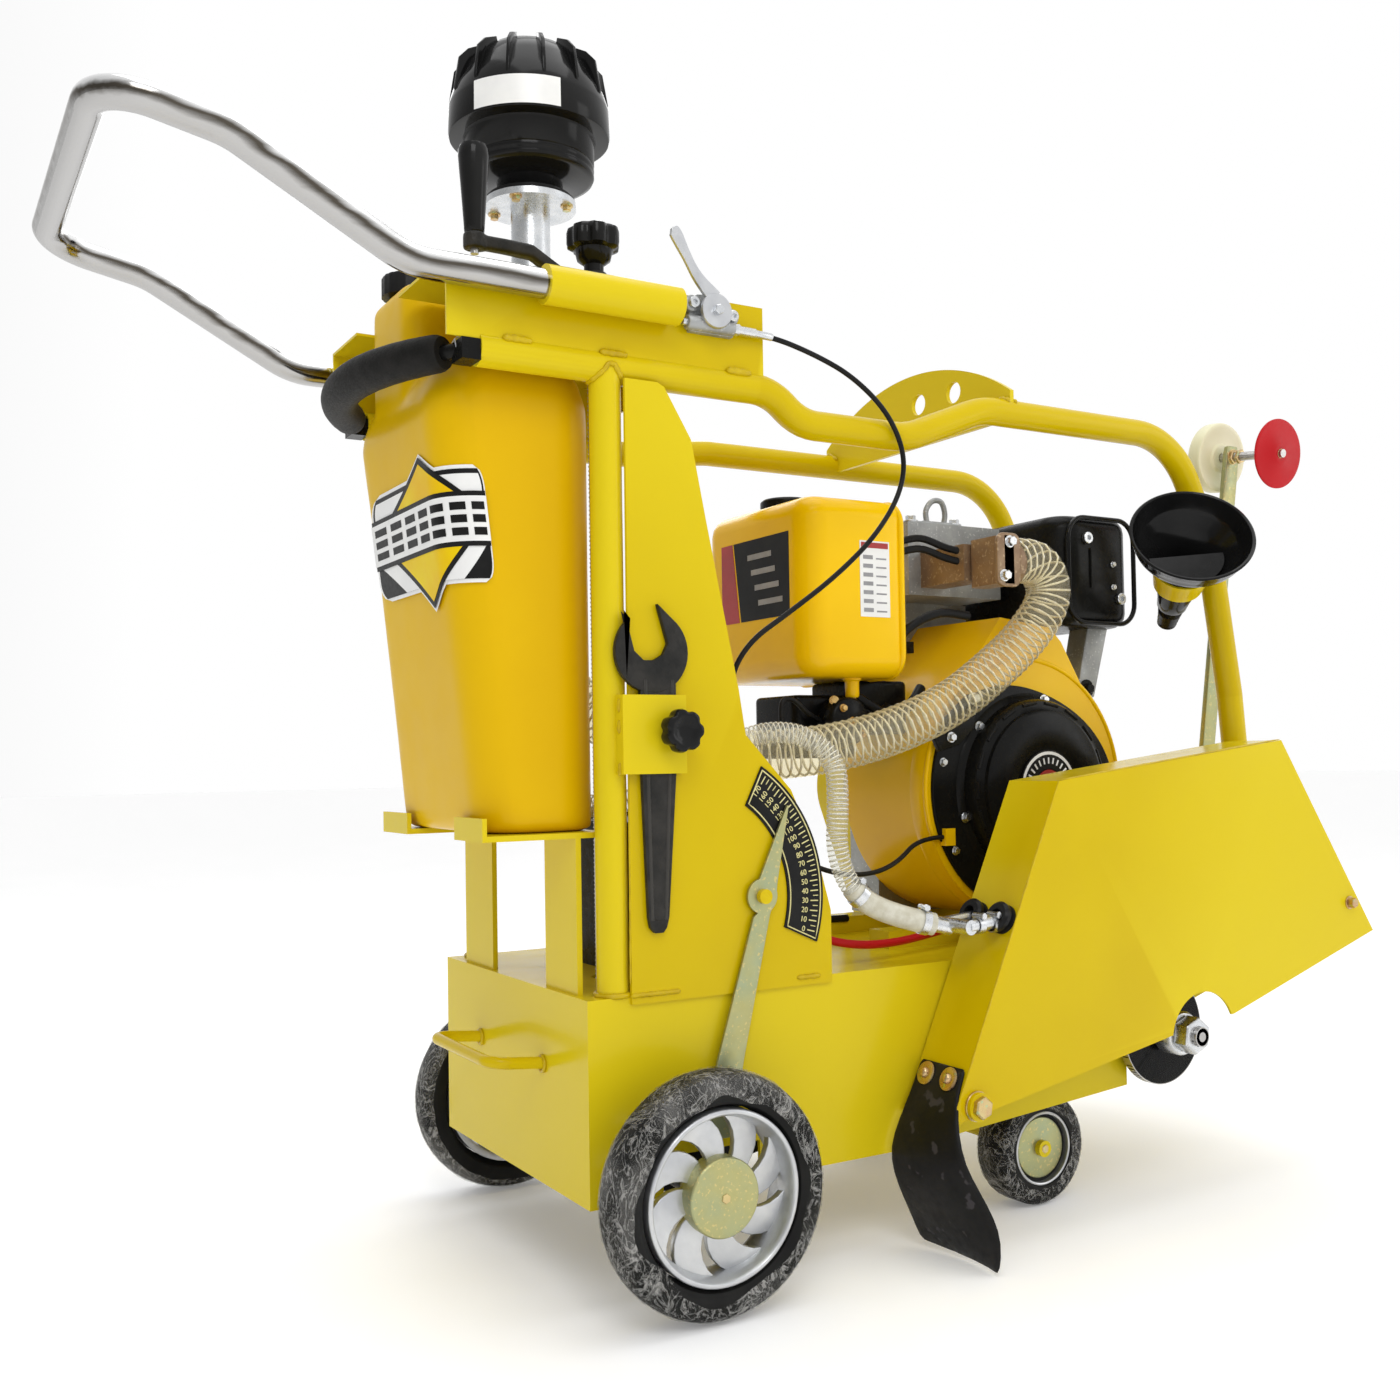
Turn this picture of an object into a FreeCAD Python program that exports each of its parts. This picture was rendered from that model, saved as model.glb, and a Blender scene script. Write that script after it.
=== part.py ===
import FreeCAD
import Part
import math
import os

# Walk-behind concrete saw. Millimetres, +X forward, +Y to the left, +Z up.
# Every station below is measured from the chassis: X from its rear face, Y from its
# centre plane, Z from the ground. save() moves each piece to the row's own origin,
# the middle of the whole machine's footprint.

REAR_END = -475.0          # back of the handlebar
FRONT_END = 1158.0         # nose of the blade guard
RIGHT_END = -340.0         # hem of the mud flap
LEFT_END = 292.0           # outer face of the left rear tyre
ORIGIN = FreeCAD.Vector((REAR_END + FRONT_END) / 2, (RIGHT_END + LEFT_END) / 2, 0)

# Chassis
CHASSIS_LENGTH = 1055.0
CHASSIS_HALF = 200.0
PLATE = 5.0
DECK_TOP = 318.0
DECK_BOTTOM = DECK_TOP - PLATE
SKIRT_BOTTOM = 107.0
NOSE_BOTTOM = 255.0
RUN = 0.05                 # radial clearance of every running fit

# Tube frame
TUBE_R = 17.0
TUBE_WALL = 3.0
TUBE_Y = 183.0
POST_X = 38.0
RAIL_Z = 974.0
TOP_Z = 988.0

# Running gear
REAR_AXLE = (106.0, 125.0)
REAR_AXLE_R = 12.5
REAR_TYRE_R = 125.0
REAR_RIM_R = 88.0
WHEEL_IN = 242.0
WHEEL_OUT = 292.0
CARRIAGE_PIVOT = (300.0, 170.0)
FRONT_AXLE = (630.0, 71.0)
FRONT_AXLE_R = 10.0
FRONT_WHEEL_R = 71.0
FRONT_WHEEL_Y = 165.0

# Blade shaft, engine and belt drive
ARBOR = (812.0, 203.0)
ARBOR_R = 20.0
BLADE_SEAT_R = 12.7
SEAT_FACE = -222.0
FLANGE_FACE = -228.0
CRANKSHAFT = (714.0, 516.0)
PTO_R = 12.5
DRIVEN_PULLEY_R = 45.0
DRIVE_PULLEY_R = 60.0
PULLEY_IN = 212.0
PULLEY_OUT = 252.0
RAIL_TOP = 340.0
SHROUD_BACK = 86.0         # rear edge of the fan shroud, against the engine block

# Control column
DEPTH_SCREW = (88.0, -62.0)
SCREW_R = 9.0
CRANK_Z = 1127.0
CRANK_REACH = 145.0
PANEL_TOP = 1062.0
SOCKET_Y = 215.0
SOCKET_Z = 1040.0
BAR_R = 15.0
PRECLEANER = (97.0, 134.0)
POINTER_PIVOT = (207.0, 412.0)
THROTTLE_PIVOT = (158.0, 1043.0)
WRENCH_KNOB = (97.0, 591.0)

# Blade guard, guide arm and funnel
GUARD_PIVOT = (436.0, 170.0)
GUARD_OUT = -287.0
GUARD_IN = -203.0
GUARD_SHEET = 3.0
GUIDE_PIVOT = (1068.0, 338.0)
GUIDE_TOP = 985.0
GUIDE_LEAN = -0.13         # sideways lean of the guide arm per millimetre of height
SPINDLE_AXIS = FreeCAD.Vector(0, -1, GUIDE_LEAN).normalize()
FUNNEL_MOUTH = FreeCAD.Vector(843, -262, 840)
FUNNEL_AXIS = FreeCAD.Vector(-0.479, -0.671, 0.566).normalize()

Y_DIR = FreeCAD.Vector(0, 1, 0)
Z_DIR = FreeCAD.Vector(0, 0, 1)


# ---------------------------------------------------------------- helpers

def vec(x, y, z):
    return FreeCAD.Vector(x, y, z)


def save(name, *solids):
    """Write one node: its solids, moved to the row's origin."""
    shape = solids[0] if len(solids) == 1 else Part.makeCompound(list(solids))
    shape = shape.copy()
    shape.translate(-ORIGIN)
    shape.exportStep("parts/" + name + ".step")


def block(x0, x1, y0, y1, z0, z1):
    return Part.makeBox(x1 - x0, y1 - y0, z1 - z0, vec(x0, y0, z0))


def rod(start, end, radius):
    """A round bar from one point to another."""
    run = end.sub(start)
    return Part.makeCylinder(radius, run.Length, start, run)


def cross_rod(centre, radius, y0, y1):
    """A round bar across the machine, centred on (x, z)."""
    return rod(vec(centre[0], y0, centre[1]), vec(centre[0], y1, centre[1]), radius)


def upright(centre, radius, z0, z1):
    """A vertical round bar, centred on (x, y)."""
    return rod(vec(centre[0], centre[1], z0), vec(centre[0], centre[1], z1), radius)


def polygon(points):
    return Part.Face(Part.makePolygon(points + [points[0]]))


def side_plate(outline, y0, y1):
    """A plate standing fore and aft, cut to an (x, z) outline."""
    return polygon([vec(x, y0, z) for x, z in outline]).extrude(vec(0, y1 - y0, 0))


def cross_plate(outline, x0, x1):
    """A plate standing across the machine, cut to a (y, z) outline."""
    return polygon([vec(x0, y, z) for y, z in outline]).extrude(vec(x1 - x0, 0, 0))


def fuse(first, *others):
    return first.fuse(list(others)).removeSplitter()


def turned(profile, centre, direction):
    """Spin an (radius, height) outline about its axis, then aim it along direction."""
    face = polygon([vec(r, 0, h) for r, h in profile])
    solid = face.revolve(vec(0, 0, 0), Z_DIR, 360)
    turn = FreeCAD.Rotation(Z_DIR, direction)
    solid.Placement = FreeCAD.Placement(centre, turn)
    return solid


def bent_path(points, largest=None):
    """Straight runs joined by tangent arcs, each as large as its two runs allow."""
    edges = []
    here = points[0]
    radii = []
    for before, corner, after in zip(points, points[1:], points[2:]):
        arrive = corner.sub(before)
        leave = after.sub(corner)
        half = arrive.getAngle(leave) / 2
        reach = 0.45 * min(arrive.Length, leave.Length)
        if largest:
            reach = min(reach, largest * math.tan(half))
        radii.append(reach / math.tan(half))
        arrive.normalize()
        leave.normalize()
        start = corner.sub(arrive * reach)
        end = corner.add(leave * reach)
        inward = leave.sub(arrive).normalize()
        middle = corner.add(inward * (radii[-1] / math.cos(half) - radii[-1]))
        edges.append(Part.LineSegment(here, start).toShape())
        edges.append(Part.Arc(start, middle, end).toShape())
        here = end
    edges.append(Part.LineSegment(here, points[-1]).toShape())
    return Part.Wire(edges), radii


def pipe(points, radius, largest=None, wall=0):
    """A round tube or bar along a bent path."""
    path, _ = bent_path(points, largest)
    start = points[0]
    aim = points[1].sub(points[0])
    ring = Part.Wire(Part.Circle(start, aim, radius).toShape())
    solid = path.makePipeShell([ring], True, False)
    if wall:
        bore = Part.Wire(Part.Circle(start, aim, radius - wall).toShape())
        solid = solid.cut(path.makePipeShell([bore], True, False))
    return solid


def hose(name, points, radius):
    """A hose or cable held along its route; prints what a bend gauge would read."""
    path, radii = bent_path(points)
    solid = pipe(points, radius)
    ideal = math.pi * radius ** 2 * path.Length
    print(name, "length", round(path.Length), "tightest", round(min(radii)),
          "volume ratio", round(solid.Volume / ideal, 4))
    return solid


def ring_y(centre, outer, inner, y0, y1):
    return cross_rod(centre, outer, y0, y1).cut(cross_rod(centre, inner, y0, y1))


def rounded_slab(x0, x1, y0, y1, z, radius):
    """A level rounded rectangle, as a wire for lofting."""
    corners = [(x1, y1, 0), (x0, y1, 90), (x0, y0, 180), (x1, y0, 270)]
    edges = []
    for x, y, start in corners:
        cx = x - radius if x == x1 else x + radius
        cy = y - radius if y == y1 else y + radius
        arc = Part.ArcOfCircle(Part.Circle(vec(cx, cy, z), Z_DIR, radius),
                               math.radians(start), math.radians(start + 90))
        edges.append(arc.toShape())
    joined = []
    for index, edge in enumerate(edges):
        following = edges[(index + 1) % 4]
        joined.append(edge)
        joined.append(Part.LineSegment(edge.Vertexes[-1].Point,
                                       following.Vertexes[0].Point).toShape())
    return Part.Wire(joined)


def soft_box(x0, x1, y0, y1, z0, z1, radius):
    """A box with its upright corners rounded."""
    face = Part.Face(rounded_slab(x0, x1, y0, y1, z0, radius))
    return face.extrude(vec(0, 0, z1 - z0))


def belt_face(grow, y):
    """The outline round both pulleys, larger than them by grow."""
    ax, az = ARBOR
    bx, bz = CRANKSHAFT
    gap = math.hypot(bx - ax, bz - az)
    line = math.atan2(bz - az, bx - ax)
    lean = math.acos((DRIVEN_PULLEY_R - DRIVE_PULLEY_R) / gap)
    small = DRIVEN_PULLEY_R + grow
    large = DRIVE_PULLEY_R + grow

    def on(cx, cz, radius, angle):
        return vec(cx + radius * math.cos(angle), y, cz + radius * math.sin(angle))

    a_low = on(ax, az, small, line - lean)
    a_high = on(ax, az, small, line + lean)
    b_low = on(bx, bz, large, line - lean)
    b_high = on(bx, bz, large, line + lean)
    edges = [
        Part.LineSegment(a_low, b_low).toShape(),
        Part.Arc(b_low, on(bx, bz, large, line), b_high).toShape(),
        Part.LineSegment(b_high, a_high).toShape(),
        Part.Arc(a_high, on(ax, az, small, line + math.pi), a_low).toShape(),
    ]
    return Part.Face(Part.Wire(edges))


def belt_slab(grow, y0, y1):
    return belt_face(grow, y0).extrude(vec(0, y1 - y0, 0))


# ---------------------------------------------------------------- chassis

def chassis_side(sign):
    outline = [(0, SKIRT_BOTTOM), (85, SKIRT_BOTTOM), (85, 148), (205, 148), (205, SKIRT_BOTTOM),
               (400, SKIRT_BOTTOM), (767, 134), (767, NOSE_BOTTOM), (CHASSIS_LENGTH, NOSE_BOTTOM),
               (CHASSIS_LENGTH, DECK_TOP), (0, DECK_TOP)]
    inner = sign * (CHASSIS_HALF - PLATE)
    outer = sign * CHASSIS_HALF
    plate = side_plate(outline, min(inner, outer), max(inner, outer))
    return plate.cut(cross_rod(CARRIAGE_PIVOT, REAR_AXLE_R, -CHASSIS_HALF, CHASSIS_HALF))


def deck_plate():
    inside = CHASSIS_HALF - PLATE
    deck = block(0, CHASSIS_LENGTH, -inside, inside, DECK_BOTTOM, DECK_TOP)
    rear = block(0, PLATE, -inside, inside, SKIRT_BOTTOM, DECK_BOTTOM)
    nose = block(CHASSIS_LENGTH - PLATE, CHASSIS_LENGTH, -inside, inside, NOSE_BOTTOM, DECK_BOTTOM)
    rails = [block(480, 950, y - 20, y + 20, DECK_TOP, RAIL_TOP) for y in (-60, 110)]
    ears = []
    for y in (-76, -50):
        ear = block(CHASSIS_LENGTH, GUIDE_PIVOT[0] + 14, y, y + 6, NOSE_BOTTOM + 30, GUIDE_PIVOT[1] + 14)
        ears.append(ear.cut(cross_rod(GUIDE_PIVOT, 6, y, y + 6)))
    pin = cross_rod(GUIDE_PIVOT, 6, -80, -40)
    plate = fuse(deck, rear, nose, pin, *rails, *ears)
    return plate.cut(upright(DEPTH_SCREW, SCREW_R + 5, DECK_BOTTOM - 1, DECK_TOP + 1))


def cross_shafts():
    pivot = cross_rod(CARRIAGE_PIVOT, REAR_AXLE_R, -CHASSIS_HALF, CHASSIS_HALF)
    axle = cross_rod(FRONT_AXLE, FRONT_AXLE_R, -192, 192)
    return pivot, axle


def axle_brackets():
    x, z = FRONT_AXLE
    solids = []
    for y in (-130, 122):
        plate = side_plate([(x - 30, z - 18), (x + 30, z - 18), (x + 45, DECK_BOTTOM), (x - 45, DECK_BOTTOM)],
                           y, y + 8)
        solids.append(plate.cut(cross_rod(FRONT_AXLE, FRONT_AXLE_R, y, y + 8)))
    return solids


def pull_handle():
    points = [vec(0, -89, 236), vec(-60, -89, 243), vec(-60, 89, 243), vec(0, 89, 236)]
    bar = pipe([vec(8, -89, 236)] + points[1:-1] + [vec(8, 89, 236)], 6.5, 20)
    return bar.cut(block(0, 20, -120, 120, 200, 280))


def front_bend(y):
    """Where both side tubes turn down at the front and land on the deck."""
    return [vec(900, y, TOP_Z), vec(968, y, 850), vec(1005, y, 640), vec(1040, y, DECK_TOP - 20)]


def side_tube(y, wall):
    rear = [vec(-105, y, RAIL_Z), vec(245, y, RAIL_Z)]
    if y < 0:
        middle = [vec(285, y, 941), vec(440, y, 941), vec(560, y, TOP_Z)]
    else:
        middle = [vec(380, y, TOP_Z)]
    tube = pipe(rear + middle + front_bend(y), TUBE_R, 110, wall)
    return tube.cut(block(900, 1100, y - 40, y + 40, DECK_TOP - 60, DECK_TOP))


def rear_post(y):
    tube = upright((POST_X, y), TUBE_R, DECK_TOP, RAIL_Z)
    bore = upright((POST_X, y), TUBE_R - TUBE_WALL, DECK_TOP, RAIL_Z)
    return tube.cut(bore).cut(side_tube(y, 0))


def depth_side_plate():
    outline = [(49, 310), (51, 960), (90, 960), (98, 956), (130, 903), (147, 818), (185, 636),
               (193, 587), (251, 526), (283, 458), (302, 390), (302, 310)]
    plate = side_plate(outline, -204, -200)
    pin = cross_rod(POINTER_PIVOT, 8, -218, -204)
    return fuse(plate, pin)


def depth_scale():
    centre = vec(123, -206, 411)

    def at(angle, radius):
        turn = math.radians(angle)
        return centre.add(vec(radius * math.cos(turn), 0, radius * math.sin(turn)))

    outer = Part.Arc(at(58, 167), at(18, 167), at(-19, 167)).toShape()
    inner = Part.Arc(at(-17, 120), at(18, 120), at(56, 120)).toShape()
    low = Part.LineSegment(at(-19, 167), at(-17, 120)).toShape()
    high = Part.LineSegment(at(56, 120), at(58, 167)).toShape()
    return Part.Face(Part.Wire([outer, low, inner, high])).extrude(vec(0, 2, 0))


def lift_plate(tubes):
    edge = 195.0
    arch = Part.Arc(vec(597, -edge, 1015), vec(597, 0, 1078), vec(597, edge, 1015)).toShape()
    base = Part.makePolygon([vec(597, edge, 1015), vec(597, edge, 979), vec(597, -edge, 979),
                             vec(597, -edge, 1015)])
    plate = Part.Face(Part.Wire([arch] + base.Edges)).extrude(vec(6, 0, 0))
    for y in (-89, -18):
        plate = plate.cut(rod(vec(590, y, 1036), vec(610, y, 1036), 14))
    for tube in tubes:
        plate = plate.cut(tube)
    return plate


def control_panel(tubes):
    rear, front, half, sheet = -140.0, 230.0, 195.0, 3.0
    top = block(rear, front, -half, half, PANEL_TOP - sheet, PANEL_TOP)
    right = block(rear, front, -half, sheet - half, 982, PANEL_TOP)
    left = block(rear, front, half - sheet, half, 982, PANEL_TOP)
    lip = block(front - sheet, front, -half, half, 1020, PANEL_TOP)
    collar = upright(DEPTH_SCREW, 20, PANEL_TOP, PANEL_TOP + 14)
    panel = fuse(top, right, left, lip, collar)
    panel = panel.cut(block(rear - 5, -45, -52, 98, 1000, 1100))
    panel = panel.cut(upright(PRECLEANER, 25, 1000, 1100))
    panel = panel.cut(upright(DEPTH_SCREW, SCREW_R + RUN, 1000, 1100))
    for tube in tubes:
        panel = panel.cut(tube)
    for sign in (-1, 1):
        y = sign * SOCKET_Y
        socket = rod(vec(-44, y, SOCKET_Z), vec(110, y, SOCKET_Z), BAR_R + 5)
        web = block(-40, 106, min(sign * 195, sign * 206), max(sign * 195, sign * 206), 1030, 1050)
        panel = panel.fuse([socket, web])
        panel = panel.cut(rod(vec(-44, y, SOCKET_Z), vec(112, y, SOCKET_Z), BAR_R))
    return panel.removeSplitter()


def handlebar():
    near = [vec(108, -SOCKET_Y, SOCKET_Z), vec(-185, -SOCKET_Y, SOCKET_Z),
            vec(-350, -SOCKET_Y, 1130), vec(REAR_END + BAR_R, -SOCKET_Y, 1152)]
    far = [vec(p.x, SOCKET_Y, p.z) for p in reversed(near)]
    return pipe(near + far, BAR_R, 90, 2)


def pad_arc(reach, radius):
    """The rear bar bows rearwards as part of a circle through the tube ends."""
    bow = 60.0
    chord = 172.0
    circle = (chord ** 2 + bow ** 2) / (2 * bow)
    full = math.asin(chord / circle)
    angle = full * reach
    centre = vec(-118 - bow + circle, 0, RAIL_Z)

    def at(turn):
        return centre.add(vec(-circle * math.cos(turn), circle * math.sin(turn), 0))

    path = Part.Wire(Part.Arc(at(-angle), at(0), at(angle)).toShape())
    aim = vec(-math.sin(angle), math.cos(angle), 0)
    ring = Part.Wire(Part.Circle(at(-angle), aim, radius).toShape())
    return path.makePipeShell([ring], True, False)


def pad_bar():
    bar = pad_arc(1.0, 8)
    lugs = [block(-125, -105, y - 14, y + 14, RAIL_Z - 14, RAIL_Z + 7) for y in (-TUBE_Y, TUBE_Y)]
    return fuse(bar, *lugs)


def bar_pad():
    return pad_arc(0.9, 21).cut(pad_bar())


def water_tank():
    sections = [rounded_slab(-84, 50, -150, 140, 487, 48), rounded_slab(-134, 50, -152, 142, 925, 50),
                rounded_slab(-131, 50, -151, 141, 944, 50), rounded_slab(-124, 46, -147, 137, 964, 50),
                rounded_slab(-112, 40, -138, 128, 984, 46)]
    body = Part.makeLoft(sections, True, True)
    hump = soft_box(-128, -52, -46, 92, 940, 1086, 26)
    neck = upright((-92, 50), 24, 1080, 1100)
    return fuse(body, hump, neck)


def tank_cap():
    cap = upright((-92, 50), 32, 1094, 1118)
    return cap.cut(upright((-92, 50), 24 + RUN, 1090, 1100 + RUN))


def tank_cradle():
    solids = []
    for y0, y1 in ((-165, -86), (64, 150)):
        post = block(6, 12, y0, y1, DECK_TOP, 481)
        shelf = block(-92, 45, y0, y1, 481, 487)
        lip = block(-97, -92, y0, y1, 481, 505)
        solids.append(fuse(post, shelf, lip))
    return solids


def battery():
    case = soft_box(115, 285, -70, 105, DECK_TOP, 490, 6)
    posts = [upright((150, y), 9, 490, 505) for y in (-40, 75)]
    return fuse(case, *posts)


# ---------------------------------------------------------------- engine

def engine_block():
    x, z = CRANKSHAFT
    case = block(x - 120, x + 120, SHROUD_BACK, 150, RAIL_TOP, 640)
    crankcase = cross_rod(CRANKSHAFT, 120, -20, SHROUD_BACK)
    cylinder = block(x - 105, x + 50, SHROUD_BACK, 140, 640, 780)
    head = block(x - 125, x + 40, 0, 120, 780, 880)
    for level in range(5):
        groove = 652 + 24 * level
        cylinder = cylinder.cut(block(x - 110, x + 80, 128, 140, groove, groove + 12))
    block_shape = fuse(case, crankcase, cylinder, head)
    return block_shape.cut(cross_rod(CRANKSHAFT, PTO_R + RUN, 100, 150))


def fan_housing():
    x, z = CRANKSHAFT
    drum = cross_rod(CRANKSHAFT, 175, -85, SHROUD_BACK)
    duct = side_plate([(x, z), (x - 141, z + 103), (x - 40, z + 228), (x + 50, z + 217),
                       (x + 70, z + 198), (x + 108, z + 137)], -85, SHROUD_BACK)
    bracket = block(562, 578, -97, -85, 445, 467)
    drum_bore = cross_rod(CRANKSHAFT, 172, -82, SHROUD_BACK)
    duct_bore = side_plate([(x, z), (x - 137, z + 103), (x - 38, z + 225), (x + 49, z + 214),
                            (x + 67, z + 196), (x + 104, z + 137)], -82, SHROUD_BACK)
    return fuse(drum, duct, bracket).cut(drum_bore).cut(duct_bore)


def recoil_cover():
    profile = [(0, 0), (130, 0), (130, 8), (117, 16), (117, 30), (104, 42), (0, 42)]
    return turned(profile, vec(CRANKSHAFT[0], -85, CRANKSHAFT[1]), vec(0, -1, 0))


def fuel_tank():
    body = soft_box(350, 520, -98, 147, 690, 868, 34)
    lower = Part.makeLoft([rounded_slab(375, 505, -80, 130, 660, 26),
                           rounded_slab(350, 520, -98, 147, 690, 34)], True, True)
    crown = Part.makeLoft([rounded_slab(350, 520, -98, 147, 868, 34),
                           rounded_slab(370, 500, -78, 127, 885, 26)], True, True)
    cap = upright((430, 60), 34, 880, 905)
    cock = upright((445, -60), 9, 636, 664)
    legs = [block(520, 594, y, y + 20, 700, 716) for y in (0, 90)]
    fuel = soft_box(353, 517, -95, 144, 690, 868, 31)
    tap = upright((445, -60), 3, 630, 695)
    return fuse(body, lower, crown, cap, cock, *legs).cut(fuel).cut(tap)


def muffler():
    case = soft_box(770, 922, -100, 140, 735, 893, 40)
    foot = side_plate([(795, 640), (834, 640), (890, 735), (795, 735)], 92, 136)
    chamber = soft_box(773, 919, -97, 137, 738, 890, 37)
    outlet = rod(vec(846, 130, 830), vec(846, 145, 830), 16)
    return fuse(case, foot).cut(chamber).cut(outlet)


def intake_elbow():
    start = INTAKE_ROUTE[0]
    aim = INTAKE_ROUTE[1].sub(start).normalize()
    body = soft_box(618, 650, -148, -88, 780, 842, 8)
    throat = block(610, 650, -88, 0, 790, 838)
    spigot = rod(start.sub(aim * 22), start, 26)
    return fuse(body, throat, spigot)


def precleaner_pipe():
    tube = upright(PRECLEANER, 25, 950, 1262)
    flange = upright(PRECLEANER, 58, 1262, 1270)
    return fuse(tube, flange)


def precleaner():
    profile = [(0, 0), (54, 0), (54, 7), (43, 11), (41, 26), (78, 30), (82, 34), (80, 82), (101, 80),
               (102, 116), (97, 132), (88, 146), (80, 164), (58, 187), (30, 197), (0, 199)]
    return turned(profile, vec(PRECLEANER[0], PRECLEANER[1], 1270), Z_DIR)


INTAKE_ROUTE = [vec(668, -118, 814), vec(700, -118, 820), vec(729, -118, 797), vec(730, -118, 760),
                vec(682, -118, 709), vec(637, -118, 676), vec(555, -118, 623), vec(447, -118, 586),
                vec(352, -116, 569), vec(262, -98, 563), vec(183, -42, 572), vec(124, 38, 612),
                vec(100, 104, 686), vec(96, 130, 768), vec(100, 137, 838), vec(97, 134, 900),
                vec(97, 134, 950)]
WATER_ROUTE = [vec(51, -100, 512), vec(100, -100, 513), vec(160, -130, 540), vec(225, -150, 588),
               vec(290, -164, 592), vec(326, -186, 560), vec(315, -204, 508), vec(308, -207, 455),
               vec(326, -210, 410), vec(368, -218, 382), vec(424, -234, 368)]
CABLE_ROUTE = [vec(186, -203, 1030), vec(232, -203, 1030), vec(292, -204, 1017), vec(346, -205, 998),
               vec(395, -206, 962), vec(420, -206, 915), vec(412, -206, 868), vec(374, -205, 815),
               vec(318, -203, 766), vec(254, -200, 722), vec(206, -194, 690), vec(184, -187, 650),
               vec(186, -184, 600), vec(198, -182, 540), vec(228, -178, 485), vec(280, -172, 446),
               vec(340, -162, 425), vec(405, -145, 420), vec(465, -120, 430), vec(522, -91, 456),
               vec(562, -91, 456)]


# ---------------------------------------------------------------- controls

def throttle_body():
    case = side_plate([(132, 1022), (186, 1022), (186, 1036), (176, 1058), (140, 1062), (132, 1040)],
                      -203, -195)
    barrel = rod(vec(128, -203, 1030), vec(186, -203, 1030), 7)
    pin = cross_rod(THROTTLE_PIVOT, 5, -219, -203)
    return fuse(case, pin).cut(barrel), barrel


def throttle_lever():
    x, z = THROTTLE_PIVOT
    disc = cross_rod(THROTTLE_PIVOT, 19, -217, -211)
    blade = side_plate([(x - 14, z + 4), (x - 50, z + 66), (x - 62, z + 80), (x - 50, z + 84),
                        (x - 40, z + 70), (x + 4, z + 17)], -217, -211)
    return fuse(disc, blade).cut(cross_rod(THROTTLE_PIVOT, 5 + RUN, -220, -210))


def wrench_holder():
    web = block(37, 112, -216, -212, 547, 629)
    walls = [block(37, 41, -212, -204, 547, 629), block(108, 112, -212, -204, 547, 629)]
    hole = rod(vec(WRENCH_KNOB[0], -220, WRENCH_KNOB[1]), vec(WRENCH_KNOB[0], -210, WRENCH_KNOB[1]), 5 + RUN)
    side = block(37, 56, -204, -200, 547, 629)
    return fuse(web, side, *walls).cut(hole).cut(depth_side_plate())


def star_knob(centre, direction, radius, height, stem_radius, stem):
    """A lobed clamp knob on its stem; the stem starts at centre."""
    lobes = 7
    head = Part.makeCylinder(radius - 4, height, vec(0, 0, stem), Z_DIR)
    for index in range(lobes):
        turn = 2 * math.pi * index / lobes
        place = vec((radius - 6) * math.cos(turn), (radius - 6) * math.sin(turn), stem)
        head = head.fuse(Part.makeCylinder(6, height, place, Z_DIR))
    knob = head.fuse(Part.makeCylinder(stem_radius, stem + 1, vec(0, 0, 0), Z_DIR)).removeSplitter()
    knob.Placement = FreeCAD.Placement(centre, FreeCAD.Rotation(Z_DIR, direction))
    return knob


def wrench():
    head = cross_rod((75, 674), 43, -211.5, -204.5)
    shank = side_plate([(61, 645), (61, 560), (68, 392), (74, 382), (84, 382), (90, 392), (103, 560),
                        (103, 645)], -211.5, -204.5)
    jaw = block(55, 95, -215, -200, 676, 730)
    jaw.rotate(vec(75, 0, 676), Y_DIR, -15)
    return fuse(head, shank).cut(jaw)


def depth_pointer():
    x, z = POINTER_PIVOT
    needle = side_plate([(243, 509), (x - 12, z + 8), (x + 16, z - 6)], -211, -207)
    bar = side_plate([(x - 10, z), (x + 12, z - 4), (180, 242), (163, 160), (128, 160), (147, 242)],
                     -211, -207)
    boss = cross_rod(POINTER_PIVOT, 19, -211, -207)
    return fuse(needle, bar, boss).cut(cross_rod(POINTER_PIVOT, 8 + RUN, -212, -206))


def depth_crank():
    x, y = DEPTH_SCREW
    screw = upright(DEPTH_SCREW, SCREW_R, 146, CRANK_Z)
    hub = upright(DEPTH_SCREW, 17, PANEL_TOP + 15, CRANK_Z - 12)
    hub_cap = upright(DEPTH_SCREW, 25, PANEL_TOP + 40, PANEL_TOP + 48)
    arm = pipe([vec(x, y, 1092), vec(x - 24, y, 1096), vec(x - 78, y, CRANK_Z + 4),
                vec(x - CRANK_REACH, y, CRANK_Z + 3)], 8, 20)
    eye = upright((x - CRANK_REACH, y), 12, CRANK_Z - 3, CRANK_Z + 12)
    spindle = upright((x - CRANK_REACH, y), 5, CRANK_Z + 12, CRANK_Z + 108)
    crank = fuse(screw, hub, hub_cap, arm, eye, spindle)
    return crank.cut(upright(DEPTH_SCREW, 5 + RUN, CRANK_Z - 40, CRANK_Z + 1))


def crank_grip():
    x, y = DEPTH_SCREW
    base = CRANK_Z + 12.5
    profile = [(5 + RUN, 0), (11, 0), (12, 8), (17, 88), (15, 98), (5 + RUN, 98)]
    return turned(profile, vec(x - CRANK_REACH, y, base), Z_DIR)


# ---------------------------------------------------------------- moving undercarriage

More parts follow.
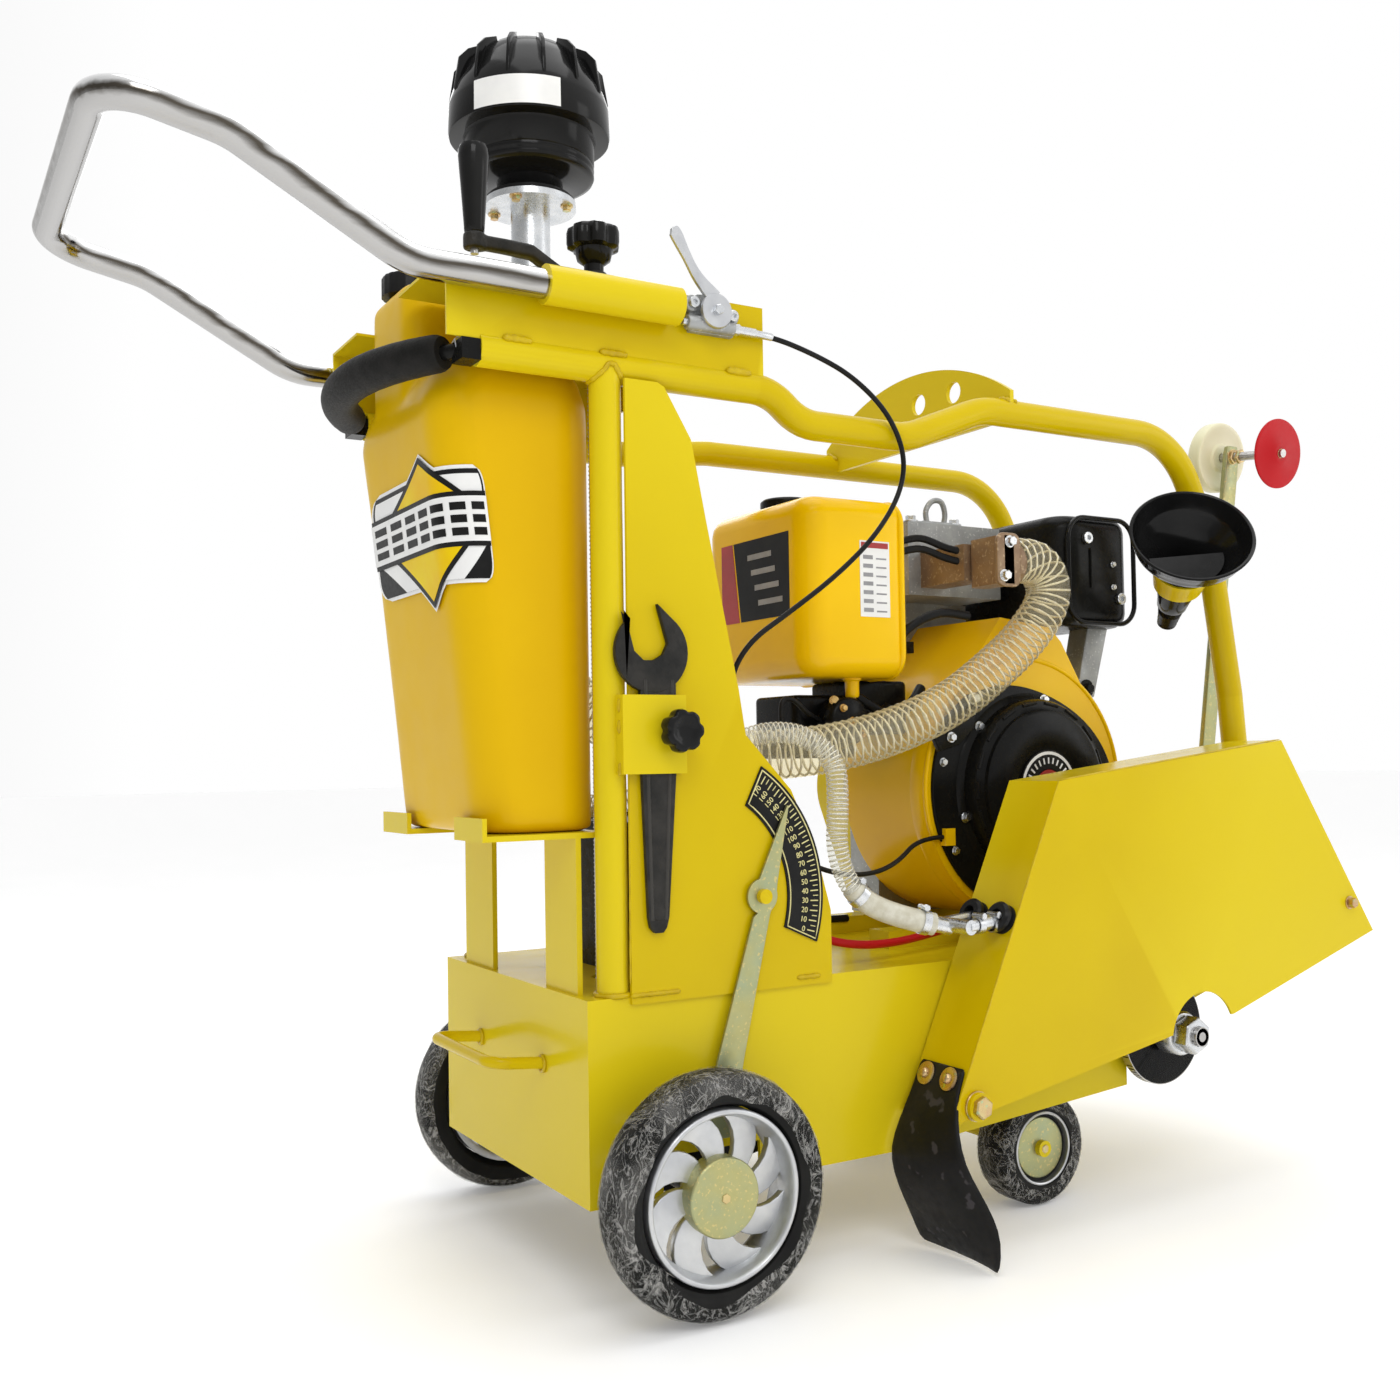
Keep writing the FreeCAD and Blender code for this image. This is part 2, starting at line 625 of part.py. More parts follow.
def axle_carriage():
    solids = [cross_rod(REAR_AXLE, REAR_AXLE_R, -WHEEL_OUT + 4, WHEEL_OUT - 4)]
    px, pz = CARRIAGE_PIVOT
    ax, az = REAR_AXLE
    for y in (-172, 162):
        arm = side_plate([(ax, az + 22), (px, pz + 26), (px, pz - 26), (ax, az - 22)], y, y + 10)
        solids.append(arm)
        solids.append(cross_rod(REAR_AXLE, 22, y, y + 10))
        solids.append(cross_rod(CARRIAGE_PIVOT, 26, y, y + 10))
    solids.append(cross_rod((210, 148), 14, -165, 165))
    for y in (-86, -46):
        solids.append(block(58, 140, y, y + 8, 118, 172))
    solids.append(block(58, 140, -86, -38, 166, 172))
    carriage = fuse(*solids)
    carriage = carriage.cut(cross_rod(CARRIAGE_PIVOT, REAR_AXLE_R + RUN, -180, 180))
    sx, sy = DEPTH_SCREW
    return carriage.cut(block(sx - 20, sx + 42, sy - 12, sy + 12, 160, 180))


def rear_tyre(sign):
    x, z = REAR_AXLE
    profile = [(REAR_RIM_R, -25), (112, -25), (120, -21), (REAR_TYRE_R, -12), (REAR_TYRE_R, 12),
               (120, 21), (112, 25), (REAR_RIM_R, 25)]
    return turned(profile, vec(x, sign * (WHEEL_IN + WHEEL_OUT) / 2, z), Y_DIR)


def rear_rim(sign):
    """Cast rim: a hub and a rim ring joined by flat spokes."""
    x, z = REAR_AXLE
    middle = sign * (WHEEL_IN + WHEEL_OUT) / 2
    ring = ring_y(REAR_AXLE, REAR_RIM_R, REAR_RIM_R - 9, middle - 22, middle + 22)
    hub = cross_rod(REAR_AXLE, 30, middle - 22, middle + 22)
    cap = cross_rod(REAR_AXLE, 40, min(middle, middle + sign * 25), max(middle, middle + sign * 25))
    spokes = []
    for index in range(8):
        spoke = block(x + 26, x + 83, middle - 10, middle + 10, z - 9, z + 9)
        spoke.rotate(vec(x, 0, z), Y_DIR, 45 * index)
        spokes.append(spoke)
    rim = fuse(ring, hub, cap, *spokes)
    return rim.cut(cross_rod(REAR_AXLE, REAR_AXLE_R + RUN, -WHEEL_OUT + 3, WHEEL_OUT - 3))


def front_wheel(sign):
    x, z = FRONT_AXLE
    profile = [(FRONT_AXLE_R + RUN, -26), (34, -26), (36, -18), (46, -18), (48, -26), (64, -26),
               (FRONT_WHEEL_R, -18), (FRONT_WHEEL_R, 18), (64, 26), (48, 26), (46, 18), (36, 18),
               (34, 26), (FRONT_AXLE_R + RUN, 26)]
    return turned(profile, vec(x, sign * FRONT_WHEEL_Y, z), Y_DIR)


# ---------------------------------------------------------------- blade drive

def blade_shaft():
    shaft = cross_rod(ARBOR, ARBOR_R, -208, 256)
    disc = cross_rod(ARBOR, 70, SEAT_FACE, SEAT_FACE + 12)
    seat = cross_rod(ARBOR, BLADE_SEAT_R, FLANGE_FACE, SEAT_FACE)
    thread = cross_rod(ARBOR, BLADE_SEAT_R - 0.3, -284, FLANGE_FACE)
    return fuse(shaft, disc, seat, thread)


def shaft_bearings():
    x, z = ARBOR
    solids = []
    for y in (-184, 154):
        housing = side_plate([(x - 62, DECK_BOTTOM), (x - 38, z - 20), (x - 22, z - 38), (x + 22, z - 38),
                              (x + 38, z - 20), (x + 62, DECK_BOTTOM)], y, y + 30)
        solids.append(housing.cut(cross_rod(ARBOR, ARBOR_R + RUN, y, y + 30)))
    return solids


def driven_pulley():
    return ring_y(ARBOR, DRIVEN_PULLEY_R, ARBOR_R, PULLEY_IN, PULLEY_OUT)


def drive_pulley():
    return fuse(cross_rod(CRANKSHAFT, DRIVE_PULLEY_R, PULLEY_IN, PULLEY_OUT),
                cross_rod(CRANKSHAFT, PTO_R, 101, PULLEY_IN))


def drive_belts():
    gap = 0.3
    solids = []
    for y in (216, 234):
        solids.append(belt_slab(gap + 8, y, y + 14).cut(belt_slab(gap, y, y + 14)))
    return solids


def belt_guard():
    cover = belt_slab(34, CHASSIS_HALF, 268).cut(belt_slab(31, CHASSIS_HALF, 265))
    slot = block(700, 900, 190, 212, 100, 330)
    return cover.cut(slot.common(belt_slab(20, 190, 212)))


def arbor_nut():
    bore = cross_rod(ARBOR, BLADE_SEAT_R - 0.3 + RUN, -290, -220)
    flange = cross_rod(ARBOR, 28, -256, FLANGE_FACE).cut(bore)
    x, z = ARBOR
    across = 41 / math.sqrt(3)
    corners = []
    for index in range(6):
        turn = math.pi / 3 * index
        corners.append((x + across * math.cos(turn), z + across * math.sin(turn)))
    nut = side_plate(corners, -278, -256).cut(bore)
    return flange, nut


# ---------------------------------------------------------------- blade guard

GUARD_OUTLINE = [(401, 152), (574, 529), (975, 574), (1158, 311), (869, 227), (755, 212)]


def guard_shell():
    outer = side_plate(GUARD_OUTLINE, GUARD_OUT, GUARD_IN)
    hollow = side_plate([(395, 130), (577, 526), (973, 570.5), (1153, 312), (1160, 290), (869, 180),
                         (755, 170)], GUARD_OUT + GUARD_SHEET, GUARD_IN - GUARD_SHEET)
    front_lip = side_plate([(1158, 311), (1150, 322), (1100, 294), (1100, 290)],
                           GUARD_OUT + GUARD_SHEET, GUARD_IN - GUARD_SHEET)
    shell = outer.cut(hollow).fuse(front_lip.common(outer)).removeSplitter()
    shell = shell.cut(cross_rod(ARBOR, 57, GUARD_OUT - 1, -270))
    shell = shell.cut(cross_rod(ARBOR, 84, -230, GUARD_IN + 1))
    shell = shell.cut(block(ARBOR[0] - 84, ARBOR[0] + 84, -230, GUARD_IN + 1, 100, ARBOR[1]))
    hinge = ring_y(GUARD_PIVOT, 16, 8, GUARD_OUT - 8, GUARD_OUT)
    bolt = cross_rod(GUARD_PIVOT, 12, GUARD_OUT - 8, GUARD_IN)
    return fuse(shell, bolt, hinge)


def guard_handle():
    """A bent round bar standing off the guard's sloping front edge."""
    along = vec(1158 - 975, 0, 311 - 574).normalize()
    out = vec(-along.z, 0, along.x)
    top = vec(975, -245, 574).add(along * 25)
    low = vec(975, -245, 574).add(along * 205)
    points = [top, top.add(out * 30), low.add(out * 30), low]
    bar = pipe([points[0].sub(out * 6)] + points[1:3] + [points[3].sub(out * 6)], 5, 12)
    return bar.cut(side_plate(GUARD_OUTLINE, GUARD_OUT, GUARD_IN))


def mud_flap():
    """Rubber sheet bolted to the guard's rear face, curling out to the ground."""
    sections = [((446, 250), (-207, -283)), ((409, 170), (-207, -283)), ((376, 116), (-207, -312)),
                ((390, 62), (-212, -330)), ((410, 20), (-216, -338)), ((420, 1), (-280, RIGHT_END))]
    thick = 5.0
    wires = []
    for (x, z), (y_in, y_out) in sections:
        wires.append(Part.makePolygon([vec(x, y_in, z), vec(x, y_out, z), vec(x - thick, y_out, z + 1),
                                       vec(x - thick, y_in, z + 1), vec(x, y_in, z)]))
    flap = Part.makeLoft(wires, True, True)
    return flap.cut(side_plate(GUARD_OUTLINE, GUARD_OUT - 2, GUARD_IN + 2))


def guard_water_pipes():
    solids = []
    for y in (-268, -222):
        solids.append(rod(vec(444, y, 366), vec(516, y, 372), 8))
    tee = rod(vec(446, -280, 366), vec(446, -210, 366), 14)
    end = WATER_ROUTE[-1]
    aim = end.sub(WATER_ROUTE[-2]).normalize()
    inlet = rod(end, end.add(aim * 20), 11.5)
    return tee.fuse([inlet] + solids).cut(side_plate(GUARD_OUTLINE, GUARD_OUT, GUARD_IN))


def spindle_at(reach):
    """A point on the guide wheels' spindle, measured outward from the arm's tip."""
    tip = vec(GUIDE_PIVOT[0], -60 + GUIDE_LEAN * (GUIDE_TOP - GUIDE_PIVOT[1]), GUIDE_TOP)
    return tip.add(SPINDLE_AXIS * reach)


def guide_arm():
    top_y = -60 + GUIDE_LEAN * (1000 - GUIDE_PIVOT[1])
    bar = cross_plate([(-56, GUIDE_PIVOT[1]), (-64, GUIDE_PIVOT[1]), (top_y - 4, 1000), (top_y + 4, 1000)],
                      GUIDE_PIVOT[0] - 13, GUIDE_PIVOT[0] + 13)
    hub = cross_rod(GUIDE_PIVOT, 13, -69, -51)
    spindle = rod(spindle_at(-42), spindle_at(90), 6)
    arm = fuse(bar, hub, spindle)
    return arm.cut(cross_rod(GUIDE_PIVOT, 6 + RUN, -72, -48))


def guide_wheels():
    roller = turned([(6 + RUN, 0), (20, 0), (22, 4), (40, 4), (50, 2), (50, 22), (6 + RUN, 22)],
                    spindle_at(-36), SPINDLE_AXIS)
    disc = turned([(6 + RUN, 0), (14, 0), (48, 5), (48, 8), (14, 12), (6 + RUN, 12)],
                  spindle_at(74), SPINDLE_AXIS)
    return roller, disc


def funnel():
    wall = [(13, -176), (13, -138), (20, -138), (36, -60), (72, -22), (78, 0),
            (75, 0), (69, -24), (33, -62), (17, -136), (10, -140), (10, -176)]
    return turned(wall, FUNNEL_MOUTH, FUNNEL_AXIS)


def funnel_ring(tube):
    """The tapered collar that the funnel drops into, on a stalk welded to the tube frame."""
    collar = turned([(35.9, -62), (39, -62), (32, -96), (29.1, -96)], FUNNEL_MOUTH, FUNNEL_AXIS)
    centre = FUNNEL_MOUTH.add(FUNNEL_AXIS * -79)
    weld = vec(976, -TUBE_Y, 810)
    toward = weld.sub(centre)
    toward = toward.sub(FUNNEL_AXIS * toward.dot(FUNNEL_AXIS)).normalize()
    stalk = rod(centre.add(toward * 35.5), weld, 4)
    return fuse(collar, stalk).cut(tube)


# ---------------------------------------------------------------- build

def main():
    os.makedirs("parts", exist_ok=True)
    tubes = {sign: side_tube(sign * TUBE_Y, 0) for sign in (-1, 1)}

    save("deck_plate", deck_plate())
    save("side_plates", chassis_side(-1), chassis_side(1))
    save("cross_shafts", *cross_shafts())
    save("front_axle_brackets", *axle_brackets())
    save("pull_handle", pull_handle())
    save("rear_posts", rear_post(-TUBE_Y), rear_post(TUBE_Y))
    save("frame_tube_right", side_tube(-TUBE_Y, TUBE_WALL).fuse(funnel_ring(tubes[-1])))
    save("frame_tube_left", side_tube(TUBE_Y, TUBE_WALL))
    save("depth_side_plate", depth_side_plate())
    save("depth_scale", depth_scale())
    save("lift_plate", lift_plate(tubes.values()))
    save("control_panel", control_panel(tubes.values()))
    save("handlebar", handlebar())
    save("pad_bar", pad_bar())
    save("bar_pad", bar_pad())
    save("water_tank", water_tank())
    save("tank_cap", tank_cap())
    save("tank_cradle", *tank_cradle())
    save("battery", battery())

    save("engine_block", engine_block())
    save("fan_housing", fan_housing())
    save("recoil_cover", recoil_cover())
    save("fuel_tank", fuel_tank())
    save("muffler", muffler())
    save("intake_elbow", intake_elbow())
    save("precleaner_pipe", precleaner_pipe())
    save("precleaner", precleaner())
    save("intake_hose", hose("intake_hose", INTAKE_ROUTE, 30))
    save("water_hose", hose("water_hose", WATER_ROUTE, 12.5))
    save("throttle_cable", hose("throttle_cable", CABLE_ROUTE, 3))

    save("throttle_body", *throttle_body())
    save("throttle_lever", throttle_lever())
    save("wrench_holder", wrench_holder())
    save("wrench_knob", star_knob(vec(WRENCH_KNOB[0], -212, WRENCH_KNOB[1]), vec(0, -1, 0), 23, 18, 5, 12))
    save("wrench", wrench())
    save("depth_pointer", depth_pointer())
    save("depth_crank", depth_crank())
    save("crank_grip", crank_grip())
    save("lock_knob", star_knob(vec(DEPTH_SCREW[0], DEPTH_SCREW[1], CRANK_Z - 40), Z_DIR, 31, 26, 5, 58))

    save("axle_carriage", axle_carriage())
    for sign, side in ((-1, "right"), (1, "left")):
        save("rear_tyre_" + side, rear_tyre(sign))
        save("rear_rim_" + side, rear_rim(sign))
        save("front_wheel_" + side, front_wheel(sign))

    save("blade_shaft", blade_shaft())
    save("shaft_bearings", *shaft_bearings())
    save("driven_pulley", driven_pulley())
    save("drive_pulley", drive_pulley())
    save("drive_belts", *drive_belts())
    save("belt_guard", belt_guard())
    save("arbor_nut", *arbor_nut())

    save("guard_shell", guard_shell())
    save("guard_handle", guard_handle())
    save("mud_flap", mud_flap())
    save("guard_water_pipes", guard_water_pipes())
    save("guide_arm", guide_arm())
    save("guide_wheels", *guide_wheels())
    save("funnel", funnel())


if __name__ == "__main__":
    main()
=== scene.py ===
import math

import bmesh
import bpy
from mathutils import Matrix, Quaternion, Vector, noise


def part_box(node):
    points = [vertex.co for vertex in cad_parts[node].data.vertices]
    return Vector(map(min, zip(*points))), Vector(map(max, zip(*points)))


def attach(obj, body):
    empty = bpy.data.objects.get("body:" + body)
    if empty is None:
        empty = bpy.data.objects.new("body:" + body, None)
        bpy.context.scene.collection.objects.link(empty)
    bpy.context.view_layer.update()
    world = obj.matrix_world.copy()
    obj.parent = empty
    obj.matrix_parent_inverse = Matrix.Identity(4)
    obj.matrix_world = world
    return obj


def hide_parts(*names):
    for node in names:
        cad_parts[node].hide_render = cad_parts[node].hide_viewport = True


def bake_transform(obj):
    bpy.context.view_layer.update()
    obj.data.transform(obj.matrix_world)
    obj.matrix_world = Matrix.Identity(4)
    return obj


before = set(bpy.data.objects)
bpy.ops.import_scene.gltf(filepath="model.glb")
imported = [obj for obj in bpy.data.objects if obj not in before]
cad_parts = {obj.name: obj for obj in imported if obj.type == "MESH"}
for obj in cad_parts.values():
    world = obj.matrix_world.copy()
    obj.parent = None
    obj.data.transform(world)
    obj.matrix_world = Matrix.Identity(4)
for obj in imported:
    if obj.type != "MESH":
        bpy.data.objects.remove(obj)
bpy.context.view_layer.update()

# Looks of a walk-behind concrete saw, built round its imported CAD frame.
# Shapes are written in station millimetres, as the CAD is: X from the chassis' rear face,
# Y from its centre plane (the operator's right is -Y), Z from the ground.

MM = 0.001
side_low, side_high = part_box("side_plates")
ORIGIN = Vector((side_low.x, (side_low.y + side_high.y) / 2, 0.0))

# Driving dimensions, in station millimetres
TUBE_R = 17.0
TUBE_Y = 183.0
POST_X = 38.0
RAIL_Z = 974.0
DECK_TOP = 318.0
PANEL_TOP = 1062.0
REAR_AXLE = Vector((106, 0, 125))
FRONT_AXLE = Vector((630, 0, 71))
ARBOR = Vector((812, 0, 203))
CRANKSHAFT = Vector((714, 0, 516))
DEPTH_SCREW = Vector((88, -62, 0))
CRANK_Z = 1127.0
PRECLEANER = Vector((97, 134, 1270))
POINTER_PIVOT = Vector((207, -211, 412))
SCALE_CENTRE = Vector((123, -206, 411))
THROTTLE_PIVOT = Vector((158, -217, 1043))
WRENCH_KNOB = Vector((97, -212, 591))
GUARD_PIVOT = Vector((436, -287, 170))
GUIDE_PIVOT = Vector((1068, -60, 338))
GUIDE_TOP = 985.0
GUIDE_LEAN = -0.13
REAR_WHEEL_Y = 267.0
FRONT_WHEEL_Y = 165.0
CAMERA_PLACE = (-626.77, -1493.98, 562.42)
CAMERA_LOOK = Vector((0.50857, 0.86056, 0.02814))
CAMERA_ROLL = math.radians(-0.93)
SPINDLE_AXIS = Vector((0, -1, GUIDE_LEAN)).normalized()
FUNNEL_MOUTH = Vector((843, -262, 840))
FUNNEL_AXIS = Vector((-0.479, -0.671, 0.566)).normalized()

RIGHTWARD = Vector((0, -1, 0))
LEFTWARD = Vector((0, 1, 0))
UP = Vector((0, 0, 1))
FORWARD = Vector((1, 0, 0))

# Control points of the three cords, the same as the CAD's
INTAKE_ROUTE = [(668, -118, 814), (700, -118, 820), (729, -118, 797), (730, -118, 760), (682, -118, 709),
                (637, -118, 676), (555, -118, 623), (447, -118, 586), (352, -116, 569), (262, -98, 563),
                (183, -42, 572), (124, 38, 612), (100, 104, 686), (96, 130, 768), (100, 137, 838),
                (97, 134, 900), (97, 134, 950)]
WATER_ROUTE = [(51, -100, 512), (100, -100, 513), (160, -130, 540), (225, -150, 588), (290, -164, 592),
               (326, -186, 560), (315, -204, 508), (308, -207, 455), (326, -210, 410), (368, -218, 382),
               (424, -234, 368)]
CABLE_ROUTE = [(186, -203, 1030), (232, -203, 1030), (292, -204, 1017), (346, -205, 998), (395, -206, 962),
               (420, -206, 915), (412, -206, 868), (374, -205, 815), (318, -203, 766), (254, -200, 722),
               (206, -194, 690), (184, -187, 650), (186, -184, 600), (198, -182, 540), (228, -178, 485),
               (280, -172, 446), (340, -162, 425), (405, -145, 420), (465, -120, 430), (522, -91, 456),
               (562, -91, 456)]


def at(point):
    """A station point in millimetres, as a row point in metres."""
    return ORIGIN + Vector(point) * MM


# ---------------------------------------------------------------- camera, light and floor

def make_camera():
    camera = bpy.data.objects.new("camera", bpy.data.cameras.new("camera"))
    bpy.context.scene.collection.objects.link(camera)
    camera.data.lens = 36.19
    camera.data.sensor_width = 36.0
    camera.data.clip_start = 0.05
    camera.data.shift_y = 0.0133
    turn = CAMERA_LOOK.to_track_quat("-Z", "Y") @ Quaternion((0, 0, 1), CAMERA_ROLL)
    camera.matrix_world = Matrix.Translation(at(CAMERA_PLACE)) @ turn.to_matrix().to_4x4()
    bpy.context.scene.camera = camera


def area_light(name, place, target, size, power):
    light = bpy.data.lights.new(name, "AREA")
    light.shape = "RECTANGLE"
    light.size = size[0]
    light.size_y = size[1]
    light.energy = power
    obj = bpy.data.objects.new(name, light)
    bpy.context.scene.collection.objects.link(obj)
    aim = (Vector(target) - Vector(place)).to_track_quat("-Z", "Y")
    obj.matrix_world = Matrix.Translation(place) @ aim.to_matrix().to_4x4()


def make_studio():
    world = bpy.data.worlds.new("studio")
    bpy.context.scene.world = world
    world.use_nodes = True
    tree = world.node_tree
    tree.nodes["Background"].inputs["Color"].default_value = (1.0, 1.0, 1.0, 1)
    # The studio's wall behind the operator is darker, which gives dark paint and chrome their depth.
    place = tree.nodes.new("ShaderNodeTexCoord")
    split = tree.nodes.new("ShaderNodeSeparateXYZ")
    level = tree.nodes.new("ShaderNodeMapRange")
    for key, value in (("From Min", -0.95), ("From Max", 0.15), ("To Min", 0.42), ("To Max", 1.0)):
        level.inputs[key].default_value = value
    tree.links.new(place.outputs["Generated"], split.inputs["Vector"])
    tree.links.new(split.outputs["X"], level.inputs["Value"])
    tree.links.new(level.outputs["Result"], tree.nodes["Background"].inputs["Strength"])
    bpy.context.scene.view_settings.view_transform = "Standard"
    area_light("key", (-1.4, -2.6, 3.2), (0, 0, 0.6), (1.6, 1.6), 34)
    area_light("side", (3.0, -2.2, 1.6), (0.3, 0, 0.5), (1.2, 2.0), 10)
    area_light("back", (1.0, 3.2, 2.8), (0, 0, 0.6), (2.0, 1.4), 16)
    area_light("top", (0, 0, 4.0), (0, 0, 0), (2.5, 2.5), 34)
    mesh = bpy.data.meshes.new("floor")
    reach = 30.0
    corners = [(-reach, -reach, 0), (reach, -reach, 0), (reach, reach, 0), (-reach, reach, 0)]
    mesh.from_pydata(corners, [], [(0, 1, 2, 3)])
    floor = bpy.data.objects.new("floor", mesh)
    floor.location.z = -0.0005
    bpy.context.scene.collection.objects.link(floor)
    paint = surface("floor_white", (0.95, 0.95, 0.95), (0.92, 0.92, 0.92), patch=3, rough=(0.6, 0.75))
    glow = next(node for node in paint.node_tree.nodes if node.type == "BSDF_PRINCIPLED")
    glow.inputs["Emission Color"].default_value = (1.0, 1.0, 1.0, 1.0)
    glow.inputs["Emission Strength"].default_value = 0.16
    mesh.materials.append(paint)


# ---------------------------------------------------------------- materials

class Shader:
    """A small helper that grows a node tree and remembers its object coordinates."""

    def __init__(self, name):
        self.material = bpy.data.materials.new(name)
        self.material.use_nodes = True
        self.tree = self.material.node_tree
        self.tree.nodes.clear()
        self.output = self.tree.nodes.new("ShaderNodeOutputMaterial")
        self.place = self.tree.nodes.new("ShaderNodeTexCoord").outputs["Object"]

    def node(self, kind, settings=None, **inputs):
        made = self.tree.nodes.new("ShaderNode" + kind)
        for key, value in (settings or {}).items():
            setattr(made, key, value)
        for key, value in inputs.items():
            socket = made.inputs[int(key[1:])] if key[0] == "_" else made.inputs[key.replace("_", " ")]
            if isinstance(value, bpy.types.NodeSocket):
                self.tree.links.new(value, socket)
            elif socket.type == "RGBA" and len(value) == 3:
                socket.default_value = (*value, 1)
            else:
                socket.default_value = value
        return made

    def stretched(self, scale):
        return self.node("Mapping", Vector=self.place, Scale=scale).outputs["Vector"]

    def noise(self, scale, detail=4.0, place=None, distortion=0.0):
        made = self.node("TexNoise", Vector=place or self.place, Scale=scale, Detail=detail,
                         Distortion=distortion)
        return made.outputs["Fac"]

    def ramp(self, fac, low, high, start=0.0, end=1.0):
        made = self.node("MapRange", Value=fac, From_Min=low, From_Max=high, To_Min=start, To_Max=end)
        return made.outputs["Result"]

    def mix(self, fac, first, second):
        made = self.node("Mix", {"data_type": "RGBA"}, _0=fac, _6=first, _7=second)
        return made.outputs[2]

    def bump(self, height, strength, distance, below=None):
        inputs = {"Height": height, "Strength": strength, "Distance": distance}
        if below is not None:
            inputs["Normal"] = below
        return self.node("Bump", **inputs).outputs["Normal"]

    def finish(self, shader):
        self.tree.links.new(shader, self.output.inputs["Surface"])
        return self.material


def surface(name, colour, other, patch, rough, metal=0.0, coat=0.0, bumps=(), specks=None, edge=None,
            sheen=0.0, shine=0.5):
    """A solid finish: two shades in patches, uneven roughness, bumps, and optional specks and worn edges.

    patch is the scale of the two shades; a bump is (scale, strength, distance in mm); specks are
    (colour, scale, share of the surface); edge is the colour that worn edges take.
    """
    s = Shader(name)
    shade = s.mix(s.ramp(s.noise(patch, 6.0), 0.35, 0.65), colour, other)
    if specks:
        speck_colour, speck_scale, share = specks
        dots = s.ramp(s.noise(speck_scale, 2.0), 1 - share, 1 - share + 0.06)
        shade = s.mix(dots, shade, speck_colour)
    if edge:
        wear = s.node("NewGeometry").outputs["Pointiness"]
        worn = s.ramp(wear, 0.53, 0.60, 0.0, 0.8)
        shade = s.mix(worn, shade, edge)
    roughness = s.ramp(s.noise(patch * 7, 5.0), 0.3, 0.7, rough[0], rough[1])
    normal = None
    for scale, strength, distance in bumps:
        normal = s.bump(s.noise(scale, 3.0), strength, distance * MM, normal)
    inputs = {"Base Color": shade, "Roughness": roughness, "Metallic": metal, "Coat Weight": coat,
              "Coat Roughness": 0.12, "Sheen Weight": sheen, "Specular IOR Level": shine}
    if normal is not None:
        inputs["Normal"] = normal
    body = s.node("BsdfPrincipled", **inputs)
    return s.finish(body.outputs["BSDF"])


def chrome():
    """Bright plated tube with a painted reflection: a dark floor line painted into its base colour along its
    lower side.
    """
    s = Shader("bright_chrome")
    # Painted reflection: the base colour is darkened by which way the surface faces, with noise streaks
    # wobbling the band's edge.
    height = s.node("SeparateXYZ", Vector=s.node("NewGeometry").outputs["Normal"]).outputs["Z"]
    painted_reflection_streaks = s.noise(14.0, 4.0, s.stretched((1, 6, 6)))
    level = s.node("Math", {"operation": "ADD"}, _0=height, _1=s.ramp(painted_reflection_streaks, 0.3, 0.7, -0.12, 0.12))
    below = s.ramp(level.outputs["Value"], -0.50, -0.12, 0.55, 1.0)
    above = s.ramp(level.outputs["Value"], 0.0, 0.34, 1.0, 0.0)
    dark = s.node("Math", {"operation": "MULTIPLY"}, _0=below, _1=above)
    # The painted reflection's dark band and lower side take the dark colour; the rest stays bright.
    shade = s.mix(dark.outputs["Value"], (0.88, 0.88, 0.88), (0.10, 0.088, 0.072))
    normal = s.bump(s.noise(500.0, 3.0), 0.03, 0.1 * MM)
    inputs = {"Base Color": shade, "Metallic": 1.0, "Roughness": 0.14, "Normal": normal}
    body = s.node("BsdfPrincipled", **inputs)
    return s.finish(body.outputs["BSDF"])


def film():
    """Crinkled clear wrapping: see-through, with fine whitish creases."""
    s = Shader("wrapping_film")
    place = s.stretched((1.0, 1.0, 0.7))
    lines = []
    for scale, twist, width in ((26.0, 1.6, 0.030), (58.0, 2.2, 0.045)):
        wave = s.noise(scale, 3.0, place, twist)
        offset = s.node("Math", {"operation": "SUBTRACT"}, _0=wave, _1=0.5).outputs["Value"]
        gap = s.node("Math", {"operation": "ABSOLUTE"}, _0=offset).outputs["Value"]
        lines.append(s.ramp(gap, 0.0, width, 1.0, 0.0))
    cloud = s.ramp(s.noise(14.0, 5.0, place), 0.46, 0.74, 0.01, 0.26)
    ridge = s.node("Math", {"operation": "MAXIMUM"}, _0=lines[0], _1=lines[1]).outputs["Value"]
    milky = s.node("Math", {"operation": "MULTIPLY_ADD"}, _0=ridge, _1=0.42, _2=cloud).outputs["Value"]
    normal = s.bump(ridge, 0.8, 2.0 * MM, s.bump(cloud, 0.6, 4.0 * MM))
    inputs = {"Base Color": (0.62, 0.61, 0.58), "Roughness": 0.25, "Normal": normal,
              "Specular IOR Level": 0.8}
    sheet = s.node("BsdfPrincipled", **inputs)
    through = s.node("BsdfTransparent", Color=(0.97, 0.97, 0.96))
    both = s.node("MixShader", _0=milky, _1=through.outputs["BSDF"], _2=sheet.outputs["BSDF"])
    return s.finish(both.outputs["Shader"])


def clear_plastic(name, tint, shade, solid):
    """Clear hose wall: tinted and see-through, with a soft cloudy body."""
    s = Shader(name)
    cloud = s.ramp(s.noise(45.0, 6.0), 0.3, 0.7, solid * 0.8, solid * 1.2)
    normal = s.bump(s.noise(160.0, 3.0), 0.15, 0.6 * MM)
    inputs = {"Base Color": s.mix(s.noise(22.0, 4.0), shade, tint), "Roughness": 0.12, "Coat Weight": 0.5,
              "Normal": normal}
    wall = s.node("BsdfPrincipled", **inputs)
    through = s.node("BsdfTransparent", Color=tint)
    both = s.node("MixShader", _0=cloud, _1=through.outputs["BSDF"], _2=wall.outputs["BSDF"])
    return s.finish(both.outputs["Shader"])


